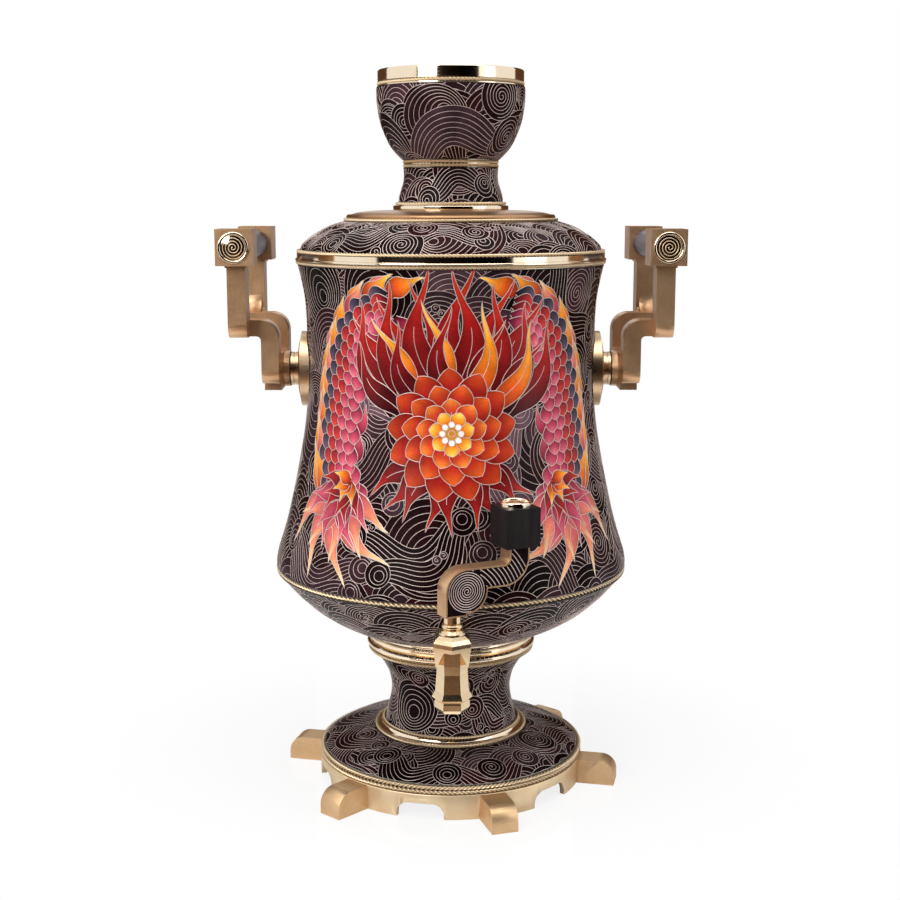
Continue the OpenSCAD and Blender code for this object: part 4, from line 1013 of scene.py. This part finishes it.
class SAMOVAR_OT_ropes(bpy.types.Operator):
    """Twisted wire ropes along every border"""
    bl_idname = "samovar.ropes"
    bl_label = "Rope Wires"

    def execute(self, context):
        for node in ROPES:
            points, _ = mesh_arrays(node)
            radii, heights = np.hypot(points[:, 0], points[:, 1]), points[:, 2]
            upper = heights > (heights.min() + heights.max()) / 2
            strips = Strips()
            for way, ring_of in ((-1, ~upper), (1, upper)) if node.endswith("s") else ((-1, heights > 0),):
                self.strands(strips, radii[ring_of], heights[ring_of], way)
            dress(strips.make(node + "_strands"), BODY_OF[node], "rope_wire", "rope", node)
        return {"FINISHED"}

    def strands(self, strips, radii, heights, way, pitch=6.4 * MM, usual=3 * MM):
        """Two strands laid round each other in the place of one ring. A twist is as long as pitch in a
        rope of the usual thickness, and way is its hand."""
        thick = radii.max() - radii.min()
        centre_r, centre_z = (radii.max() + radii.min()) / 2, (heights.max() + heights.min()) / 2
        twists = round(math.tau * centre_r / (pitch * thick / usual))
        a = np.linspace(0, math.tau, twists * 9 + 1)
        for start in (0, math.pi):
            b = way * a * twists + start
            rows = []
            for c in np.linspace(0, math.tau, 7):
                r = centre_r + (np.cos(b) * 0.23 + np.cos(c) * 0.27) * thick
                z = centre_z + (np.sin(b) * 0.23 + np.sin(c) * 0.27) * thick
                rows.append(round_axis(r, a, z))
            strips.grid(rows)


def medallion(name, body, plane, radius, height, turns, props, filling, *nodes):
    """A turned brass rim with a domed disc and a spiral wire inside it, standing on a plane."""
    circle = towards(np.linspace(0, math.tau, 65))
    rim_width = radius * 0.17
    field, plate, dome = radius - rim_width, height * 0.2, height * 0.72
    section = [(radius, 0)]
    for a in np.linspace(0, math.pi, 9):
        section.append((radius + (math.cos(a) - 1) * rim_width / 2, height * (0.62 + 0.38 * math.sin(a))))
    section += [(field, plate), (0.0, plate)]
    rim = Strips([plane.place(circle * r, z) for r, z in section])
    dress(rim.make(name + "_rim"), body, "polished_brass", "polished", *nodes)
    level = plate + ENAMEL_LIFT
    disc = Strips([plane.place(circle * field * s, level + dome * (1 - s * s)) for s in np.linspace(0, 1, 7)])
    dress(disc.make(name + "_disc"), body, "polished_brass", filling)
    line = spiral((0, 0), field, field / turns, STEP["cap"], 0.6)
    rise = dome * (1 - np.sum(line * line, axis=1) / field ** 2)
    wire = Strips(wire_rows(plane, line, props.cap_wire, props.wire_height, level + rise))
    dress(wire.make(name + "_spiral"), body, "rope_wire", "gilt")


class SAMOVAR_OT_handle_caps(bpy.types.Operator):
    """Round spiral caps on the ends of the handles"""
    bl_idname = "samovar.handle_caps"
    bl_label = "Handle Caps"

    def execute(self, context):
        props = context.scene.samovar_enamel
        for side in ("left", "right"):
            low, high = box(side + "_caps")
            block_low, block_high = box(side + "_blocks")
            x, _, z = (low + high) / 2
            for end, y, across in (("front", block_low[1], 1), ("back", block_high[1], -1)):
                nodes = [side + "_caps"] if end == "front" else []
                medallion(f"{side}_{end}_cap", "tank", Plane((x, y, z), (across, 0, 0), (0, 0, 1)),
                          (high[0] - low[0]) / 2, high[1] - block_high[1], 4.3, props, "polished", *nodes)
        return {"FINISHED"}


class SAMOVAR_OT_tap(bpy.types.Operator):
    """Enamel inlays on the key's blade and the spiral cap on its knob"""
    bl_idname = "samovar.tap"
    bl_label = "Tap Key"
    edge_width = 1.0 * MM
    head_radius = 14.1 * MM

    def execute(self, context):
        props = context.scene.samovar_enamel
        low, high = box("tap_cap")
        x, y, _ = (low + high) / 2
        # The knob cap's disc takes the darker copy of the blasted brass, with painted shade
        medallion("knob_cap", "key", Plane((x, y, low[2]), (1, 0, 0), (0, 1, 0)), (high[0] - low[0]) / 2,
                  high[2] - low[2], 4.2, props, "shaded_satin", "tap_cap")
        plug_low, plug_high = box("tap_plug")
        axis = (plug_low + plug_high)[:2] / 2
        along = np.array((x, y)) - axis
        along = along / np.hypot(*along)
        mesh = frame["nodes"]["tap_key"].data
        for name, sign in (("front", 1), ("back", -1)):
            out = np.array([along[1], -along[0]]) * sign
            edge = face_outline(mesh, [f for f in mesh.polygons if np.dot(f.normal[:2], out) > FACING])
            foot = axis + out * np.dot(edge[0][:2] - axis, out)
            flat = np.column_stack([(edge[:, :2] - axis) @ along * sign, edge[:, 2]])
            plane = Plane((*foot, 0), (*along * sign, 0), (0, 0, 1))
            self.inlay(name, even_outline(flat, STEP["blade"]), plane, sign, props)
        return {"FINISHED"}

    def inlay(self, name, shape, plane, sign, props):
        """Dark enamel inside a brass edge, with a spiral in the blade's round head and arcs beyond."""
        inner = inset(shape, self.edge_width)
        triangles = tessellate_polygon([[Vector((*p, 0)) for p in inner]])
        tints = np.tile(linear(INLAY_TINT), (len(inner), 1))
        points = plane.place(inner, ENAMEL_LIFT)
        cover = add_mesh(f"key_enamel_{name}", points, triangles, tints, smooth=False)
        dress(cover, "key", "enamel", "enamel")
        head = np.array([sign * (self.head_radius - 7 * MM), shape[:, 1].min() + self.head_radius + 1.3 * MM])
        field = self.head_radius - 1.4 * MM
        border = ring(head, field + 0.5 * MM, STEP["arc"])
        coil = spiral(head, field, 1.5 * MM, STEP["cap"], 2.0, sign)
        stretches = runs_of(coil, inside(coil, inner))
        middle = head + np.array([-sign * 8, -14]) * MM
        for k in range(1, 15):
            arc = ring(middle, field + (6.5 + 2.5 * k) * MM, STEP["arc"], -0.6, 3.6)
            stretches += runs_of(arc, inside(arc, inner) & ~inside(arc, border))
        wires = Strips()
        for run in stretches:
            wires.grid(wire_rows(plane, run, props.key_wire, props.wire_height * 0.8, ENAMEL_LIFT))
        dress(wires.make(f"key_wires_{name}"), "key", "rope_wire", "wire")


def runs_of(line, keep):
    """The stretches of a line whose points are all kept."""
    cuts = np.flatnonzero(np.diff(keep.astype(int))) + 1
    parts = zip(np.split(line, cuts), np.split(keep, cuts))
    return [part for part, kept in parts if kept[0] and len(part) > 2]


def face_outline(mesh, faces):
    """The longest closed border of a set of faces, as points in order."""
    borders = {}
    for face in faces:
        corners = [tuple(round(c, 6) for c in mesh.vertices[v].co) for v in face.vertices]
        for a, b in zip(corners, corners[1:] + corners[:1]):
            if not borders.pop((b, a), False):
                borders[a, b] = True
    follow = {}
    for a, b in borders:
        follow.setdefault(a, []).append(b)
    best = []
    while follow:
        start = spot = next(iter(follow))
        loop = []
        while spot in follow:
            loop.append(spot)
            step = follow[spot].pop()
            if not follow[spot]:
                del follow[spot]
            spot = step
            if spot == start:
                break
        if len(loop) > len(best):
            best = loop
    return np.array(best)


def even_outline(shape, step):
    """A closed outline with points about step apart, its corners kept, running anticlockwise."""
    points = []
    for a, b in zip(shape, np.roll(shape, -1, axis=0)):
        count = max(1, int(np.hypot(*(b - a)) / step))
        points += [a + (b - a) * k / count for k in range(count)]
    points = np.array(points)
    x, y = points.T
    return points if np.sum(x * np.roll(y, -1) - y * np.roll(x, -1)) > 0 else points[::-1]


def inset(shape, distance):
    """An anticlockwise outline moved inwards."""
    return shape + beside(np.roll(shape, -1, axis=0) - np.roll(shape, 1, axis=0)) * distance


class SAMOVAR_OT_solid_finishes(bpy.types.Operator):
    """Finishes of the solids that show as they are"""
    bl_idname = "samovar.solid_finishes"
    bl_label = "Brass, Wood and Steel"

    def execute(self, context):
        feet = [f"foot_{k}" for k in range(1, 7)]
        plan = {
            "satin": ["base_skirt"],
            "warm_satin": feet,
            # Handles and key: the darker copy of the blasted brass, with painted shade
            "shaded_satin": on_both_sides("yoke", "blocks") + ["tap_key"],
            "turned": on_both_sides("boss"),
            "browned": ["lid_shoulder"],
            "polished": [*RINGS, *on_both_sides("caps"), "tap_cap"],
            "buffed": ["tap_boss", "tap_body", "tap_gland", "tap_plug", "stem_bead"],
            "ebony": ["tap_knob"],
            "grip": on_both_sides("grip"),
            "steel": ["foot_screws", *on_both_sides("bolt", "rod")],
            "iron": ["grate"],
            "sooted": ["flue_tube"],
            "tinned": SHELLS,
            "fibre": [*on_both_sides("washer"), "tap_seal"],
            "rope": ROPES,
        }
        broken_edges = {"tap_knob": 0.5, "tap_key": 0.35, "tap_body": 0.35, "base_skirt": 0.5,
                        **dict.fromkeys(on_both_sides("yoke") + feet, 0.7),
                        **dict.fromkeys(on_both_sides("blocks"), 0.6)}
        for look, nodes in plan.items():
            for node in nodes:
                repaint(node, look, broken_edges.get(node, 0) * MM)
        return {"FINISHED"}


class SAMOVAR_OT_turned_rings(bpy.types.Operator):
    """Smooth polished faces of the turned brass rings"""
    bl_idname = "samovar.turned_rings"
    bl_label = "Turned Rings"

    def execute(self, context):
        around = np.linspace(-math.pi, math.pi, 289)
        for node in RINGS:
            low, high = box(node)
            sheet = Sheet(outline(node, low[2], high[2]), 0.3 * MM)
            rows = [np.column_stack([around, np.full(len(around), y)]) for y in sheet.y]
            strips = Strips([sheet.place(row, POLISH_LIFT) for row in rows])
            dress(strips.make(node + "_polish"), BODY_OF[node], "polished_brass", "polished")
        return {"FINISHED"}


# ---- Stage ----

# Soft boxes: place, what they aim at, width, height and power
LAMPS = {
    "Left soft box": ((-0.85, -1.15, 0.95), (0, 0, 0.24), 0.8, 0.8, 15),
    "Right soft box": ((1.15, -0.75, 0.7), (0, 0, 0.24), 0.7, 1.2, 3.5),
    "Top soft box": ((0, -0.35, 1.55), (0, 0, 0.2), 1.3, 1.0, 12),
}

# Cards that glow and show only in the gloss, as painted reflections: their section as radius, height and
# colour, the angles they span, and how bright they are at the left and the right of the middle, which paints
# the left of the metal lighter and the right darker
FRONT_SECTION = ((0.34, 0.004, "#c0a084"), (0.6, 0.008, "#8c6c55"), (1.0, 0.014, "#4a382b"),
                 (1.5, 0.02, "#120b08"), (2.1, 0.03, "#120b08"), (2.1, 2.2, "#120b08"))
SIDE_SECTION = ((1.9, 0.0, "#5a3c26"), (1.9, 1.6, "#5a3c26"))
CARDS = {
    "Front card": (FRONT_SECTION, (-54, 54), (1.2, 0.15)),
    "Left card": (SIDE_SECTION, (-172, -118), (1, 1)),
    "Right card": (SIDE_SECTION, (118, 172), (1, 1)),
}


class SAMOVAR_OT_stage(bpy.types.Operator):
    """White floor and background, soft boxes over both sides, dark glowing cards that paint reflections into
    the gloss, and the camera
    """
    bl_idname = "samovar.stage"
    bl_label = "Stage"

    def execute(self, context):
        self.camera(context.scene, context.scene.samovar_stage)
        self.floor()
        self.world(context.scene)
        self.cards()
        for name, values in LAMPS.items():
            self.lamp(name, *values)
        context.scene.view_settings.view_transform = "Standard"
        return {"FINISHED"}

    def camera(self, scene, props):
        data = bpy.data.cameras.new("Camera")
        camera = bpy.data.objects.new("Camera", data)
        scene.collection.objects.link(camera)
        data.lens = props.lens
        data.sensor_width = 36
        data.clip_start, data.clip_end = 0.01, 50
        yaw = props.camera_yaw
        camera.location = (-props.camera_distance * math.sin(yaw) - props.camera_shift,
                           -props.camera_distance * math.cos(yaw), props.camera_height)
        camera.rotation_euler = (math.pi / 2 - props.camera_tilt, 0, -yaw)
        scene.camera = camera

    def lamp(self, name, place, aim, width, height, power):
        data = bpy.data.lights.new(name, "AREA")
        data.shape = "RECTANGLE"
        data.size, data.size_y, data.energy = width, height, power
        lamp = bpy.data.objects.new(name, data)
        bpy.context.scene.collection.objects.link(lamp)
        lamp.location = place
        lamp.rotation_mode = "QUATERNION"
        lamp.rotation_quaternion = (Vector(aim) - Vector(place)).to_track_quat("-Z", "Y")

    def floor(self, half=4.0, gap=0.1 * MM):
        """A glossy white sheet a little under the feet, which fades into the white background."""
        corners = [(-half, -half, 0), (half, -half, 0), (half, half, 0), (-half, half, 0)]
        plane = add_mesh("Floor", corners, [(0, 1, 2, 3)], smooth=False)
        plane.location.z = -gap
        material, tree = new_material("Acrylic sheet, white")
        place = add(tree, "ShaderNodeTexCoord", output="Object")
        away = add(tree, "ShaderNodeVectorMath", {"operation": "LENGTH", 0: place}, "Value")
        fade = add(tree, "ShaderNodeMapRange", {"interpolation_type": "SMOOTHSTEP", "Value": away,
                                                "From Min": 0.1, "From Max": 0.32, "To Min": 0.84})
        camera_ray = add(tree, "ShaderNodeLightPath", output="Is Camera Ray")
        seen = add(tree, "ShaderNodeMath", {"operation": "MULTIPLY", 0: fade, 1: camera_ray})
        sheet = add(tree, "ShaderNodeBsdfPrincipled", {"Base Color": (*linear("#f7f7f7"), 1),
                                                       "Roughness": 0.04, SPECULAR: 0.5})
        white = add(tree, "ShaderNodeEmission", {"Color": (1, 1, 1, 1), "Strength": 1.0})
        both = add(tree, "ShaderNodeMixShader", {0: seen, 1: sheet, 2: white})
        add(tree, "ShaderNodeOutputMaterial", {"Surface": both})
        plane.data.materials.append(material)

    def world(self, scene):
        """A room that is white to the camera and in reflections, and half as bright as a light."""
        world = bpy.data.worlds.new("White room")
        scene.world = world
        world.use_nodes = True
        tree = world.node_tree
        tree.nodes.clear()
        seen = add(tree, "ShaderNodeLightPath", output="Is Camera Ray")
        for ray in ("Is Glossy Ray", "Is Transmission Ray"):
            other = add(tree, "ShaderNodeLightPath", output=ray)
            seen = add(tree, "ShaderNodeMath", {"operation": "MAXIMUM", 0: seen, 1: other})
        strength = add(tree, "ShaderNodeMapRange", {"Value": seen, "To Min": 0.5})
        back = add(tree, "ShaderNodeBackground", {"Color": (1, 1, 1, 1), "Strength": strength})
        add(tree, "ShaderNodeOutputWorld", {"Surface": back})

    def cards(self):
        """Glowing cards that only the gloss shows, as painted reflections: one round the front, on the floor
        and up, which gets darker outwards and is brighter on the left than on the right, and one behind each
        side, which darkens the edges of the metal."""
        material, tree = new_material("Card, matt")
        tint = add(tree, "ShaderNodeAttribute", {"attribute_name": "Tint"}, "Color")
        glow = add(tree, "ShaderNodeEmission", {"Strength": 1.0, "Color": tint})
        add(tree, "ShaderNodeOutputMaterial", {"Surface": glow})
        for name, (section, span, shades) in CARDS.items():
            a = np.radians(np.linspace(*span, 25))
            shade = np.interp(a, np.radians((-15, 15)), shades)
            piece = Strips([round_axis(r, a, np.full(len(a), z)) for r, z, _ in section],
                           [np.outer(shade, linear(code)) for _, _, code in section]).make(name)
            piece.data.materials.append(material)
            for ray in ("camera", "diffuse", "shadow", "transmission"):
                setattr(piece, "visible_" + ray, False)


# ---- Add-on ----

class SAMOVAR_PT_panel(bpy.types.Panel):
    """Lists what dresses the samovar"""
    bl_idname = "SAMOVAR_PT_panel"
    bl_label = "Samovar"
    bl_space_type = "VIEW_3D"
    bl_region_type = "UI"
    bl_category = "Samovar"

    def draw(self, context):
        for group in GROUPS:
            props = getattr(context.scene, group)
            for name in props.__annotations__:
                self.layout.prop(props, name)
        for operator in OPERATORS:
            self.layout.operator(operator.bl_idname)


GROUPS = {"samovar_enamel": EnamelSettings, "samovar_colours": ColourSettings, "samovar_stage": StageSettings}
OPERATORS = (SAMOVAR_OT_stage, SAMOVAR_OT_solid_finishes, SAMOVAR_OT_turned_rings, SAMOVAR_OT_tank_enamel,
             SAMOVAR_OT_small_enamels, SAMOVAR_OT_ropes, SAMOVAR_OT_handle_caps, SAMOVAR_OT_tap)
CLASSES = (*GROUPS.values(), *OPERATORS, SAMOVAR_PT_panel)


def register():
    for cls in CLASSES:
        bpy.utils.register_class(cls)
    for name, group in GROUPS.items():
        setattr(bpy.types.Scene, name, bpy.props.PointerProperty(type=group))


def unregister():
    for name in GROUPS:
        delattr(bpy.types.Scene, name)
    for cls in reversed(CLASSES):
        bpy.utils.unregister_class(cls)


def main():
    register()
    for operator in OPERATORS:
        group, name = operator.bl_idname.split(".")
        getattr(getattr(bpy.ops, group), name)()
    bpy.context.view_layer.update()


if __name__ == "__main__":
    main()
